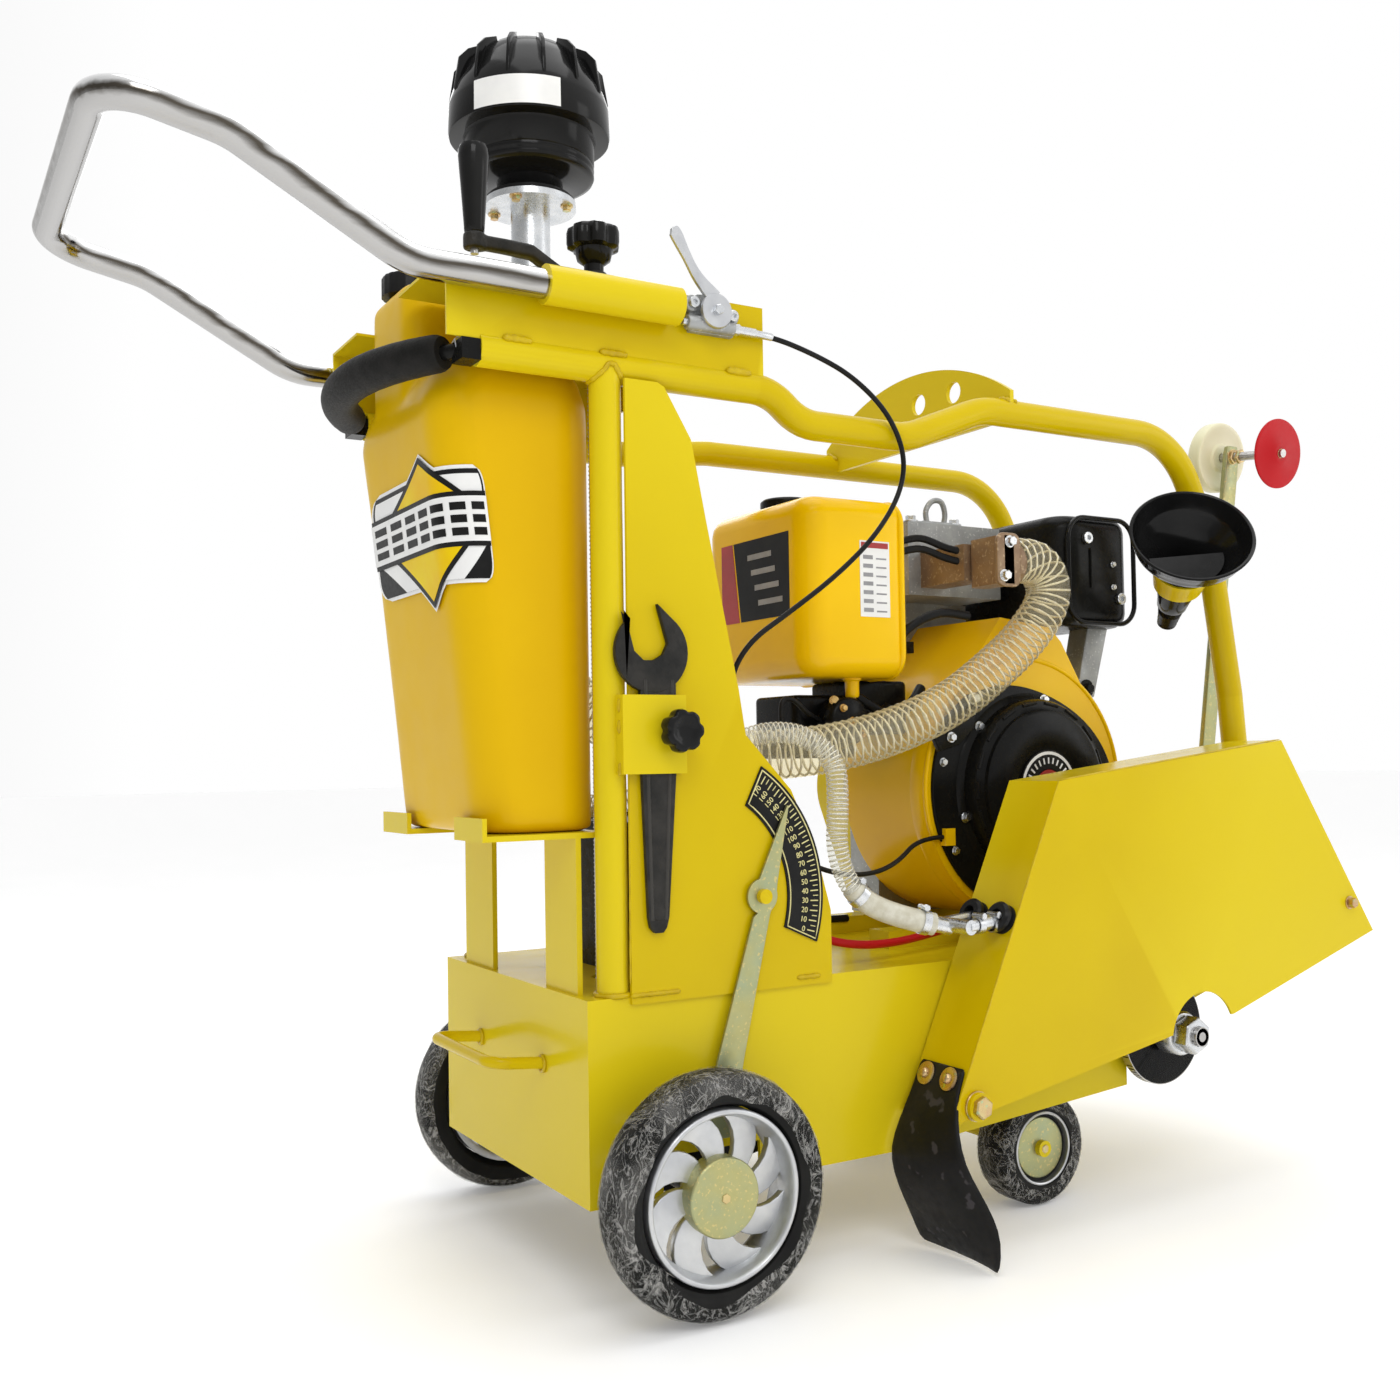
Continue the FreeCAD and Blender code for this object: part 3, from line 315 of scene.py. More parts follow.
def make_materials():
    paint_bumps = ((900, 0.05, 0.2), (60, 0.03, 0.5))
    label_bumps = ((500, 0.03, 0.1),)
    plastic_bumps = ((300, 0.06, 0.3),)
    return {
        "yellow": surface("frame_yellow", (0.62, 0.455, 0.0008), (0.585, 0.42, 0.0008), 5, (0.16, 0.26),
                          coat=0.05, bumps=paint_bumps, edge=(0.70, 0.55, 0.01), shine=0.12),
        "weld": surface("weld_yellow", (0.58, 0.42, 0.001), (0.48, 0.33, 0.001), 60, (0.25, 0.38),
                        coat=0.08, bumps=((260, 0.5, 0.8),), shine=0.25),
        "amber": surface("tank_amber", (0.74, 0.47, 0.0008), (0.70, 0.425, 0.0008), 4, (0.28, 0.38),
                         coat=0.02, bumps=((420, 0.10, 0.3), (24, 0.05, 1.5)), shine=0.1),
        "shroud": surface("engine_amber", (0.90, 0.56, 0.001), (0.84, 0.50, 0.001), 5, (0.16, 0.26),
                          coat=0.08, bumps=((700, 0.05, 0.25),), shine=0.15),
        "chrome": chrome(),
        "steel": surface("plain_steel", (0.56, 0.55, 0.53), (0.42, 0.41, 0.40), 40, (0.25, 0.42), 1.0,
                         bumps=((700, 0.12, 0.1),)),
        "zinc": surface("bright_zinc", (0.70, 0.71, 0.72), (0.58, 0.60, 0.62), 60, (0.22, 0.38), 1.0,
                        bumps=((600, 0.1, 0.1),), specks=((0.45, 0.46, 0.5), 420, 0.36)),
        "olive": surface("olive_zinc", (0.44, 0.42, 0.19), (0.36, 0.40, 0.24), 24, (0.34, 0.5), 0.85,
                         bumps=((380, 0.12, 0.2),), specks=((0.58, 0.50, 0.22), 260, 0.4)),
        "gold": surface("yellow_zinc", (0.62, 0.50, 0.24), (0.55, 0.36, 0.20), 50, (0.24, 0.38), 0.95,
                        bumps=((600, 0.12, 0.1),), specks=((0.45, 0.52, 0.30), 140, 0.4)),
        "alloy": surface("cast_alloy", (0.62, 0.63, 0.64), (0.50, 0.51, 0.53), 26, (0.3, 0.45), 0.9,
                         bumps=((520, 0.25, 0.25), (90, 0.08, 0.5))),
        "casting": surface("grey_casting", (0.40, 0.41, 0.41), (0.30, 0.31, 0.31), 30, (0.42, 0.6), 0.7,
                           bumps=((430, 0.4, 0.4),), specks=((0.60, 0.60, 0.60), 300, 0.36)),
        "tan": surface("tan_casting", (0.30, 0.20, 0.115), (0.22, 0.135, 0.075), 35, (0.28, 0.45), 0.35,
                       bumps=((300, 0.3, 0.5),), specks=((0.42, 0.30, 0.18), 200, 0.4)),
        "gloss": surface("gloss_black", (0.006, 0.006, 0.006), (0.010, 0.010, 0.010), 14, (0.10, 0.18),
                         coat=0.03, bumps=((240, 0.02, 0.3),), shine=0.16),
        "black": surface("black_plastic", (0.008, 0.008, 0.008), (0.014, 0.014, 0.014), 20, (0.25, 0.4),
                         bumps=((480, 0.12, 0.25),), shine=0.12),
        "enamel": surface("black_enamel", (0.005, 0.005, 0.005), (0.010, 0.010, 0.009), 12, (0.2, 0.32),
                          bumps=((340, 0.08, 0.3),), shine=0.11),
        "cast_black": surface("black_cast_iron", (0.010, 0.010, 0.009), (0.028, 0.026, 0.023), 45,
                              (0.35, 0.5), bumps=((260, 0.7, 0.9), (90, 0.3, 1.0)),
                              edge=(0.05, 0.047, 0.042), shine=0.2),
        "tyre": surface("tyre_rubber", (0.006, 0.006, 0.006), (0.013, 0.013, 0.012), 18, (0.45, 0.62),
                        bumps=((700, 0.3, 0.3), (120, 0.12, 0.6)), shine=0.14),
        "rubber": surface("flap_rubber", (0.005, 0.005, 0.005), (0.014, 0.013, 0.013), 16, (0.36, 0.6),
                          bumps=((500, 0.25, 0.3), (30, 0.3, 3.0)), specks=((0.04, 0.036, 0.04), 55, 0.36),
                          shine=0.18),
        "foam": surface("foam_grip", (0.006, 0.006, 0.005), (0.012, 0.011, 0.010), 60, (0.5, 0.7),
                        bumps=((1400, 0.4, 0.25), (300, 0.15, 0.5)), sheen=0.02, shine=0.14),
        "nylon": surface("cream_nylon", (0.80, 0.78, 0.56), (0.74, 0.71, 0.46), 12, (0.32, 0.45),
                         bumps=plastic_bumps),
        "red": surface("red_plastic", (0.50, 0.008, 0.013), (0.45, 0.006, 0.010), 16, (0.3, 0.42),
                       coat=0.02, bumps=plastic_bumps, shine=0.15),
        "brass": surface("brass", (0.72, 0.50, 0.20), (0.60, 0.38, 0.13), 60, (0.2, 0.35), 1.0,
                         bumps=((500, 0.1, 0.1),)),
        "white": surface("label_white", (0.84, 0.84, 0.82), (0.78, 0.78, 0.77), 25, (0.3, 0.4),
                         coat=0.2, bumps=label_bumps),
        "ink": surface("label_black", (0.006, 0.006, 0.006), (0.012, 0.012, 0.012), 30, (0.3, 0.4),
                       bumps=label_bumps, shine=0.14),
        "label_yellow": surface("label_yellow", (0.80, 0.64, 0.002), (0.78, 0.46, 0.002), 9, (0.3, 0.4),
                                bumps=label_bumps, shine=0.12),
        "label_red": surface("label_red", (0.42, 0.02, 0.018), (0.34, 0.015, 0.014), 14, (0.3, 0.45),
                             coat=0.1, bumps=label_bumps),
        "grey_ink": surface("label_grey", (0.30, 0.30, 0.31), (0.24, 0.24, 0.25), 60, (0.4, 0.5),
                            bumps=label_bumps),
        "brass_ink": surface("scale_ink", (0.72, 0.66, 0.30), (0.66, 0.60, 0.26), 80, (0.35, 0.5),
                             bumps=label_bumps),
        "film": film(),
        "amber_hose": clear_plastic("amber_clear_hose", (0.98, 0.94, 0.80), (0.66, 0.58, 0.32), 0.15),
        "clear_hose": clear_plastic("clear_hose", (0.97, 0.97, 0.94), (0.70, 0.69, 0.58), 0.16),
        "wire": surface("spring_wire", (0.82, 0.80, 0.72), (0.74, 0.71, 0.60), 40, (0.2, 0.3), 0.3,
                        bumps=((600, 0.05, 0.1),)),
        "braid": surface("braided_sleeve", (0.62, 0.60, 0.50), (0.50, 0.47, 0.36), 90, (0.25, 0.4),
                         coat=0.4, bumps=((300, 0.5, 0.8),)),
    }


# ---------------------------------------------------------------- shapes: (vertices, faces) in station mm

def joined(*parts):
    """Several shapes as one."""
    verts, faces = [], []
    for part_verts, part_faces in parts:
        base = len(verts)
        verts.extend(part_verts)
        faces.extend(tuple(base + i for i in face) for face in part_faces)
    return verts, faces


def placed(part, matrix):
    return [matrix @ Vector(v) for v in part[0]], part[1]


def aimed(part, centre, direction, spin=0.0):
    """Turn a shape made along +Z to point along direction, and move it to centre."""
    aim = UP.rotation_difference(Vector(direction)).to_matrix().to_4x4()
    return placed(part, Matrix.Translation(centre) @ aim @ Matrix.Rotation(spin, 4, "Z"))


def lathe(profile, steps=48, ring=False):
    """Spin (radius, height) points about +Z, as a solid or as a closed ring section."""
    verts = []
    for radius, height in profile:
        for i in range(steps):
            turn = 2 * math.pi * i / steps
            verts.append(Vector((radius * math.cos(turn), radius * math.sin(turn), height)))
    rows = len(profile)
    faces = []
    for j in range(rows if ring else rows - 1):
        upper = (j + 1) % rows
        for i in range(steps):
            k = (i + 1) % steps
            faces.append((j * steps + i, j * steps + k, upper * steps + k, upper * steps + i))
    if not ring:
        if profile[0][0] > 0.001:
            faces.append(tuple(reversed(range(steps))))
        if profile[-1][0] > 0.001:
            faces.append(tuple((rows - 1) * steps + i for i in range(steps)))
    return verts, faces


def sweep_frames(points, closed=False):
    """A tangent, a normal and a binormal at each point, turning as little as the path allows."""
    points = [Vector(p) for p in points]
    count = len(points)
    frames = []
    normal = None
    for i, here in enumerate(points):
        before = points[(i - 1) % count] if closed or i else here
        after = points[(i + 1) % count] if closed or i < count - 1 else here
        tangent = (after - before).normalized()
        if normal is None:
            normal = tangent.orthogonal().normalized()
        normal = (normal - tangent * normal.dot(tangent)).normalized()
        frames.append((here, normal, tangent.cross(normal)))
    return frames


def tube(points, radius, sides=12, closed=False):
    """A round bar along points; radius is a number or one number per point."""
    verts, faces = [], []
    frames = sweep_frames(points, closed)
    for i, (here, across, up) in enumerate(frames):
        r = radius[i] if isinstance(radius, (list, tuple)) else radius
        for k in range(sides):
            turn = 2 * math.pi * k / sides
            verts.append(here + across * (r * math.cos(turn)) + up * (r * math.sin(turn)))
    count = len(frames)
    for j in range(count if closed else count - 1):
        upper = (j + 1) % count
        for k in range(sides):
            m = (k + 1) % sides
            faces.append((j * sides + k, j * sides + m, upper * sides + m, upper * sides + k))
    if not closed:
        faces.append(tuple(reversed(range(sides))))
        faces.append(tuple((count - 1) * sides + k for k in range(sides)))
    return verts, faces


def helix(points, radius, pitch, per_turn):
    """Points that wind round a path."""
    frames = sweep_frames(points)
    lengths = [0.0]
    for (a, _, _), (b, _, _) in zip(frames, frames[1:]):
        lengths.append(lengths[-1] + (b - a).length)
    total = lengths[-1]
    count = int(total / pitch * per_turn)
    wound = []
    j = 0
    for i in range(count + 1):
        along = total * i / count
        while j < len(lengths) - 2 and lengths[j + 1] < along:
            j += 1
        share = (along - lengths[j]) / (lengths[j + 1] - lengths[j])
        here = frames[j][0].lerp(frames[j + 1][0], share)
        across = frames[j][1].lerp(frames[j + 1][1], share).normalized()
        up = frames[j][2].lerp(frames[j + 1][2], share).normalized()
        turn = 2 * math.pi * i / per_turn
        wound.append(here + (across * math.cos(turn) + up * math.sin(turn)) * radius)
    return wound


def through(points, steps):
    """A smooth line through given points (Catmull-Rom)."""
    points = [Vector(p) for p in points]
    count = len(points)
    line = []
    for i in range(count - 1):
        b, c = points[i], points[i + 1]
        a = points[i - 1] if i else b - (c - b)
        d = points[i + 2] if i + 2 < count else c + (c - b)
        for k in range(steps):
            t = k / steps
            line.append(0.5 * (2 * b + (c - a) * t + (2 * a - 5 * b + 4 * c - d) * t * t
                               + (3 * b - a - 3 * c + d) * t * t * t))
    line.append(points[-1])
    return line


def slab(outline, depth):
    """A flat plate: an outline of points, thickened by the vector depth."""
    outline = [Vector(p) for p in outline]
    count = len(outline)
    depth = Vector(depth)
    verts = outline + [p + depth for p in outline]
    faces = [tuple(range(count)), tuple(reversed(range(count, 2 * count)))]
    for i in range(count):
        k = (i + 1) % count
        faces.append((k, i, count + i, count + k))
    return verts, faces


def side_slab(outline, y0, y1):
    """A plate standing fore and aft, from (x, z) points."""
    return slab([(x, y0, z) for x, z in outline], (0, y1 - y0, 0))


def box(x0, x1, y0, y1, z0, z1):
    return slab([(x0, y0, z0), (x1, y0, z0), (x1, y1, z0), (x0, y1, z0)], (0, 0, z1 - z0))


def loft(rings, capped=True):
    """Skin a row of rings that have the same number of points."""
    verts = [Vector(p) for ring in rings for p in ring]
    count = len(rings[0])
    faces = []
    for j in range(len(rings) - 1):
        for i in range(count):
            k = (i + 1) % count
            faces.append((j * count + i, j * count + k, (j + 1) * count + k, (j + 1) * count + i))
    if capped:
        faces.append(tuple(reversed(range(count))))
        faces.append(tuple((len(rings) - 1) * count + i for i in range(count)))
    return verts, faces


def round_rect(x0, x1, y0, y1, radius, steps=6):
    """Corner-rounded rectangle as (x, y) points, anticlockwise."""
    points = []
    for cx, cy, start in ((x1 - radius, y1 - radius, 0), (x0 + radius, y1 - radius, 90),
                          (x0 + radius, y0 + radius, 180), (x1 - radius, y0 + radius, 270)):
        for i in range(steps + 1):
            turn = math.radians(start + 90 * i / steps)
            points.append((cx + radius * math.cos(turn), cy + radius * math.sin(turn)))
    return points


def soft_case(x0, x1, y0, y1, z0, z1, radius, edge, steps=6):
    """A box with round upright corners and softly rounded top and bottom."""
    rings = []
    for i in range(5):
        turn = math.pi / 2 * i / 4
        inset = edge * (1 - math.sin(turn))
        z = z0 + edge * (1 - math.cos(turn))
        rings.append((inset, z))
    rings += [(inset, z1 - (z - z0)) for inset, z in reversed(rings)]
    return loft([[(x, y, z) for x, y in round_rect(x0 + inset, x1 - inset, y0 + inset, y1 - inset,
                                                   max(radius - inset, 1.0), steps)]
                 for inset, z in rings])


def ring_of(radius, sides, height):
    """Points evenly round the Z axis."""
    turns = [2 * math.pi * i / sides for i in range(sides)]
    return [(radius * math.cos(turn), radius * math.sin(turn), height) for turn in turns]


def hexagon(across, height):
    """A hexagon head with chamfered corners, standing on z = 0."""
    corner = across / math.sqrt(3)
    chamfer = across * 0.072
    rows = [(1.0, 0), (1.0, height - chamfer), (0.87, height), (0.30, height)]
    return loft([ring_of(corner * share, 6, z) for share, z in rows])


def washer(outer, height):
    lip = min(0.4, height / 3)
    return lathe([(0, 0), (outer, 0), (outer, height - lip), (outer - lip, height), (0, height)], 28)


def bolt(centre, direction, across, head, washer_r=0.0, stud=0.0):
    """A hexagon bolt head on its washer, with the end of its stud if it is a nut."""
    washer_height = 1.8
    head_spin = 0.35
    direction = Vector(direction).normalized()
    parts = []
    base = Vector(centre)
    if washer_r:
        parts.append(aimed(washer(washer_r, washer_height), base, direction))
        base = base + direction * washer_height
    parts.append(aimed(hexagon(across, head), base, direction, head_spin))
    if stud:
        r = across * 0.29
        tip = head + stud
        parts.append(aimed(lathe([(r, 0), (r, tip - 1), (r - 1, tip), (0, tip)], 20), base, direction))
    return joined(*parts)


def socket_screw(centre, direction, radius, height):
    """A cap screw with a hexagon socket."""
    key = radius * 0.5
    steps = 24
    outer = [(radius, 0), (radius, height - 0.8), (radius - 0.8, height), (key * 1.1, height)]
    rings = [ring_of(r, steps, z) for r, z in outer]
    for z in (height, height * 0.45):
        ring = []
        for i in range(steps):
            turn = 2 * math.pi * i / steps
            wedge = (turn + math.pi / 6) % (math.pi / 3) - math.pi / 6
            r = key * 0.9 / math.cos(wedge)
            ring.append((r * math.cos(turn), r * math.sin(turn), z))
        rings.append(ring)
    return aimed(loft(rings), centre, direction)


def bead(points, radius, lump=9.0):
    """A weld bead: overlapping lumps along a line."""
    line = [Vector(p) for p in points]
    dense = []
    for a, b in zip(line, line[1:]):
        count = max(2, int((b - a).length / (lump / 4)))
        dense.extend(a.lerp(b, i / count) for i in range(count))
    dense.append(line[-1])
    along = 0.0
    radii = []
    for i, here in enumerate(dense):
        along += (here - dense[i - 1]).length if i else 0.0
        wave = abs(math.sin(math.pi * along / lump))
        rough = noise.noise(here * 0.11)
        end = min(1.0, min(i, len(dense) - 1 - i) / 2 + 0.35)
        radii.append(radius * (0.78 + 0.26 * wave + 0.22 * rough) * end)
    return tube(dense, radii, 8)


def arc(centre, radius, start, end, u, v, count=12):
    """Points on an arc in the plane of u and v, angles in degrees."""
    line = []
    for i in range(count + 1):
        turn = math.radians(start + (end - start) * i / count)
        line.append(Vector(centre) + (Vector(u) * math.cos(turn) + Vector(v) * math.sin(turn)) * radius)
    return line


# ---------------------------------------------------------------- making pieces

def piece(name, body, slot, *groups, replaces=(), bevel=0.0, subdivide=0, remesh=0.0, sharp=38.0,
          ride=True):
    """Make one object from (finish, shape) pairs, finish its mesh and ride it on a CAD body.

    bevel and remesh are sizes in mm, and sharp is the angle in degrees above which an edge stays crisp.
    """
    mesh = bpy.data.meshes.new(name)
    verts, faces, marks = [], [], []
    for index, (finish, part) in enumerate(groups):
        mesh.materials.append(MATERIALS[finish])
        base = len(verts)
        verts.extend(part[0])
        faces.extend(tuple(base + i for i in face) for face in part[1])
        marks.extend([index] * len(part[1]))
    mesh.from_pydata([at(v) for v in verts], [], faces)
    mesh.polygons.foreach_set("material_index", marks)
    clean = bmesh.new()
    clean.from_mesh(mesh)
    bmesh.ops.remove_doubles(clean, verts=clean.verts, dist=2e-6)
    bmesh.ops.recalc_face_normals(clean, faces=clean.faces)
    clean.to_mesh(mesh)
    clean.free()
    obj = bpy.data.objects.new(name, mesh)
    bpy.context.scene.collection.objects.link(obj)
    if remesh:
        modifier = obj.modifiers.new("remesh", "REMESH")
        modifier.mode = "VOXEL"
        modifier.voxel_size = remesh * MM
        smooth = obj.modifiers.new("smooth", "SMOOTH")
        smooth.factor = 0.5
        smooth.iterations = 8
    if bevel:
        modifier = obj.modifiers.new("bevel", "BEVEL")
        modifier.width = bevel * MM
        modifier.segments = 3
        modifier.limit_method = "ANGLE"
        modifier.angle_limit = math.radians(35)
    if subdivide:
        modifier = obj.modifiers.new("subdivide", "SUBSURF")
        modifier.levels = subdivide
        modifier.render_levels = subdivide
    if obj.modifiers:
        view = bpy.context.evaluated_depsgraph_get()
        shaped = bpy.data.meshes.new_from_object(obj.evaluated_get(view))
        obj.modifiers.clear()
        obj.data = shaped
        bpy.data.meshes.remove(mesh)
        shaped.name = name
    obj.data.polygons.foreach_set("use_smooth", [True] * len(obj.data.polygons))
    obj.data.set_sharp_from_angle(angle=math.radians(sharp))
    if ride:
        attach(obj, body)
    if replaces:
        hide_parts(*replaces)
    return obj


def route_curve(name, points):
    """The NURBS line that a cord follows, with its points as control points."""
    data = bpy.data.curves.new(name, "CURVE")
    data.dimensions = "3D"
    data.resolution_u = 24
    spline = data.splines.new("NURBS")
    spline.points.add(len(points) - 1)
    for control, point in zip(spline.points, points):
        control.co = (*at(point), 1)
    spline.order_u = 3
    spline.use_endpoint_u = True
    obj = bpy.data.objects.new(name, data)
    bpy.context.scene.collection.objects.link(obj)
    return obj


def route_line(points):
    """The same line as station points, close together."""
    guide = route_curve("guide", points)
    bpy.context.view_layer.update()
    view = bpy.context.evaluated_depsgraph_get()
    mesh = bpy.data.meshes.new_from_object(guide.evaluated_get(view))
    line = [(v.co - ORIGIN) / MM for v in mesh.vertices]
    bpy.data.objects.remove(guide)
    bpy.data.meshes.remove(mesh)
    return line


def path_length(line):
    return sum((b - a).length for a, b in zip(line, line[1:]))


def evenly(line, gap):
    """The same line with points a fixed gap apart."""
    total = path_length(line)
    count = max(2, round(total / gap))
    made = [line[0]]
    along = 0.0
    wanted = total / count
    for a, b in zip(line, line[1:]):
        step = (b - a).length
        while along + step >= wanted - 1e-6 and len(made) < count:
            made.append(a.lerp(b, (wanted - along) / step))
            wanted += total / count
        along += step
    made.append(line[-1])
    return made


def ribbed_hose(node, points, radius, pitch, wire, wall):
    """A clear hose whose wall bulges between the turns of a steel helix."""
    groove = 0.035 * radius
    line = route_line(points)
    fine = evenly(line, pitch / 4)
    radii = [radius - groove * (1 + math.cos(math.pi * i / 2)) / 2 for i in range(len(fine))]
    hose = piece(node + "_wall", "chassis", "clear_hose", (wall, tube(fine, radii, 28)), replaces=[node],
                 ride=False, sharp=180)
    turns = helix(fine, radius * 0.955, pitch, 14)
    coil = piece(node + "_wall_wire", "chassis", "clear_hose", ("wire", tube(turns, wire, 5)), ride=False,
                 sharp=180)
    return hose, coil, line


def hose_clamp(here, run):
    """A worm-drive band round a sleeve, with its screw on top."""
    band = aimed(lathe([(13.4, -4.5), (14.6, -4.5), (14.6, 4.5), (13.4, 4.5)], 32, ring=True), here, run)
    side = run.cross(UP).normalized()
    top = here + UP * 17
    worm = tube([top - side * 9, top + side * 7], 3.4, 12)
    return joined(band, worm, bolt(top + side * 7, side, 7, 5))


def cords():
    """The two ribbed hoses and the throttle cable."""
    hose, coil, line = ribbed_hose("intake_hose", INTAKE_ROUTE, 30.0, 11.5, 1.5, "amber_hose")
    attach(hose, "chassis")
    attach(coil, "chassis")

    hose, coil, line = ribbed_hose("water_hose", WATER_ROUTE, 12.5, 5.4, 0.75, "clear_hose")
    sleeve_points = 38
    sleeve_line = evenly(line, 3.0)[-sleeve_points:]
    sleeve = piece("water_hose_sleeve", "chassis", "clear_hose",
                   ("braid", tube(sleeve_line, 13.2, 24)), ride=False, sharp=60)
    clamps = []
    for i in (4, 33):
        run = (sleeve_line[i + 1] - sleeve_line[i]).normalized()
        clamps.append(hose_clamp(sleeve_line[i], run))
    band = piece("water_hose_clamps", "chassis", "zinc", ("zinc", joined(*clamps)), ride=False)
    for part in (hose, coil, sleeve, band):
        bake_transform(part)

    cable = route_curve("throttle_cable_sheath", CABLE_ROUTE)
    cable.data.bevel_depth = 3.0 * MM
    cable.data.bevel_resolution = 5
    cable.data.materials.append(MATERIALS["black"])
    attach(cable, "chassis")
    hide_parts("throttle_cable")


# ---------------------------------------------------------------- CAD nodes that keep their shape

NODE_FINISHES = {
    "yellow": ["deck_plate", "side_plates", "front_axle_brackets", "pull_handle", "rear_posts",
               "frame_tube_right", "frame_tube_left", "depth_side_plate", "lift_plate", "control_panel",
               "tank_cradle", "cross_shafts", "wrench_holder", "guard_shell", "belt_guard", "guard_handle"],
    "chrome": ["handlebar"],
    "enamel": ["pad_bar", "axle_carriage", "shaft_bearings", "battery"],
    "ink": ["depth_scale"],
    "steel": ["blade_shaft", "driven_pulley", "drive_pulley"],
    "zinc": ["precleaner_pipe"],
    "shroud": ["fan_housing"],
    "casting": ["engine_block"],
    "tan": ["intake_elbow"],
    "rubber": ["drive_belts"],
}


def finish_cad_nodes():
    for finish, names in NODE_FINISHES.items():
        for name in names:
            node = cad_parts[name]
            node.data.materials.clear()
            node.data.materials.append(MATERIALS[finish])


# ---------------------------------------------------------------- wheels

def wrap(profile, seed, ragged):
    """Crinkled film drawn round a wheel; profile runs from the inner edge to the ragged outer one."""
    steps = 160
    crease_depth = 2.2
    torn_rows = 3
    verts, faces = [], []
    for i in range(steps):
        turn = 2 * math.pi * i / steps
        for j, (radius, height) in enumerate(profile):
            spot = Vector((math.cos(turn) * 4.0, math.sin(turn) * 4.0, height * 0.05 + seed))
            crease = abs(noise.noise(spot)) + 0.5 * abs(noise.noise(spot * 2.7))
            torn = 0.0
            row = j - (len(profile) - torn_rows)
            if row >= 0:
                torn = ragged * noise.noise(spot * 0.6 + Vector((7, 3, 1))) * (row + 1) / torn_rows
            r = radius - crease_depth * crease + torn
            verts.append(Vector((r * math.cos(turn), r * math.sin(turn), height)))
    rows = len(profile)
    for i in range(steps):
        k = (i + 1) % steps
        for j in range(rows - 1):
            faces.append((i * rows + j, k * rows + j, k * rows + j + 1, i * rows + j + 1))
    return verts, faces


def rear_wheel(side, sign):
    centre = REAR_AXLE + LEFTWARD * sign * REAR_WHEEL_Y
    outward = LEFTWARD * sign
    body = "rear_wheel_" + side
    tread = [(88, -24), (104, -25), (114, -24), (120, -20), (123, -12), (123.4, 0), (123, 12), (120, 20),
             (114, 24), (104, 25), (99, 24), (97, 21), (88, 21)]
    piece("rear_tyre_cover_" + side, body, "tyre_rubber",
          ("tyre", aimed(lathe(tread, 96, True), centre, outward)), replaces=["rear_tyre_" + side],
          subdivide=1)
    skin = [(112, -25.4), (118, -23.4), (122.5, -18), (125, -9), (125, 0), (125, 9), (123, 16), (121, 20.5),
            (117, 24.2), (111, 25.6), (105, 25.6), (99, 25.2)]
    piece("rear_film_" + side, body, "tyre_rubber",
          ("film", aimed(wrap(skin, sign * 3.0, 13), centre, outward)))

    ring = [(79, -20), (88, -22), (88, 22), (86, 24), (83, 24), (81, 20), (79, 14), (77, 4), (77, -12)]
    boss = [(16, -22), (28, -22), (34, -4), (38, 4), (38, 8), (16, 8)]
    rim = [lathe(ring, 96, True), lathe(boss, 48, True)]
    spokes = 8
    bend = 0.46
    for n in range(spokes):
        rings = []
        for k in range(7):
            t = k / 6
            radius = 28 + 54 * t
            turn = 2 * math.pi * n / spokes + bend * t * t
            half = (9.5 + 13.0 * t) / radius
            dish = 6 - 10 * t * (1 - t)
            front, back = dish + 4, dish - 9
            corners = ((turn - half, back), (turn + half, back + 4), (turn + half, front),
                       (turn - half, front - 5))
            rings.append([(radius * math.cos(a), radius * math.sin(a), height) for a, height in corners])
        rim.append(loft(rings))
    piece("rear_rim_cast_" + side, body, "cast_alloy", ("alloy", aimed(joined(*rim), centre, outward)),
          replaces=["rear_rim_" + side], bevel=1.2)
    cup = [(0, 23.0), (34, 23.0), (38.5, 22.4), (40, 20.5), (40, 0), (38, 0), (38, 8), (0, 8)]
    cap = aimed(lathe(cup, 64), centre, outward)
    piece("rear_hub_cap_" + side, body, "zinc", ("olive", cap), bevel=0.6)
    piece("rear_hub_bolt_" + side, body, "zinc", ("gold", bolt(centre + outward * 12, outward, 9, 12.5)))


def front_wheel(side, sign):
    centre = FRONT_AXLE + LEFTWARD * sign * FRONT_WHEEL_Y
    outward = LEFTWARD * sign
    body = "front_wheel_" + side
    tread = [(12, -25), (61, -25), (67, -22), (70, -16), (70, 16), (67, 22), (61, 25), (46, 25), (44, 16),
             (12, 16)]
    piece("front_tyre_" + side, body, "tyre_rubber", ("tyre", aimed(lathe(tread, 72, True), centre, outward)),
          replaces=["front_wheel_" + side], bevel=1.0)
    skin = [(65, -26), (69, -22), (71, -16), (71, 0), (71, 16), (69, 22), (64, 26), (58, 26.2), (51, 25)]
    piece("front_film_" + side, body, "tyre_rubber",
          ("film", aimed(wrap(skin, 9.0 + sign, 6), centre, outward)))
    disc = lathe([(0, 19.4), (35, 19.4), (37, 18.6), (37.5, 16), (37.5, 12), (0, 12)], 56)
    piece("front_hub_disc_" + side, body, "zinc", ("olive", aimed(disc, centre, outward)), bevel=0.5)
    lip = lathe([(42, 16), (45, 16), (45, 24), (43.5, 25), (42, 24)], 56, True)
    piece("front_hub_lip_" + side, body, "zinc", ("alloy", aimed(lip, centre, outward)))
    piece("front_hub_bolt_" + side, body, "zinc",
          ("gold", bolt(centre + outward * 19.4, outward, 10, 6.5, 8)))


# ---------------------------------------------------------------- water tank

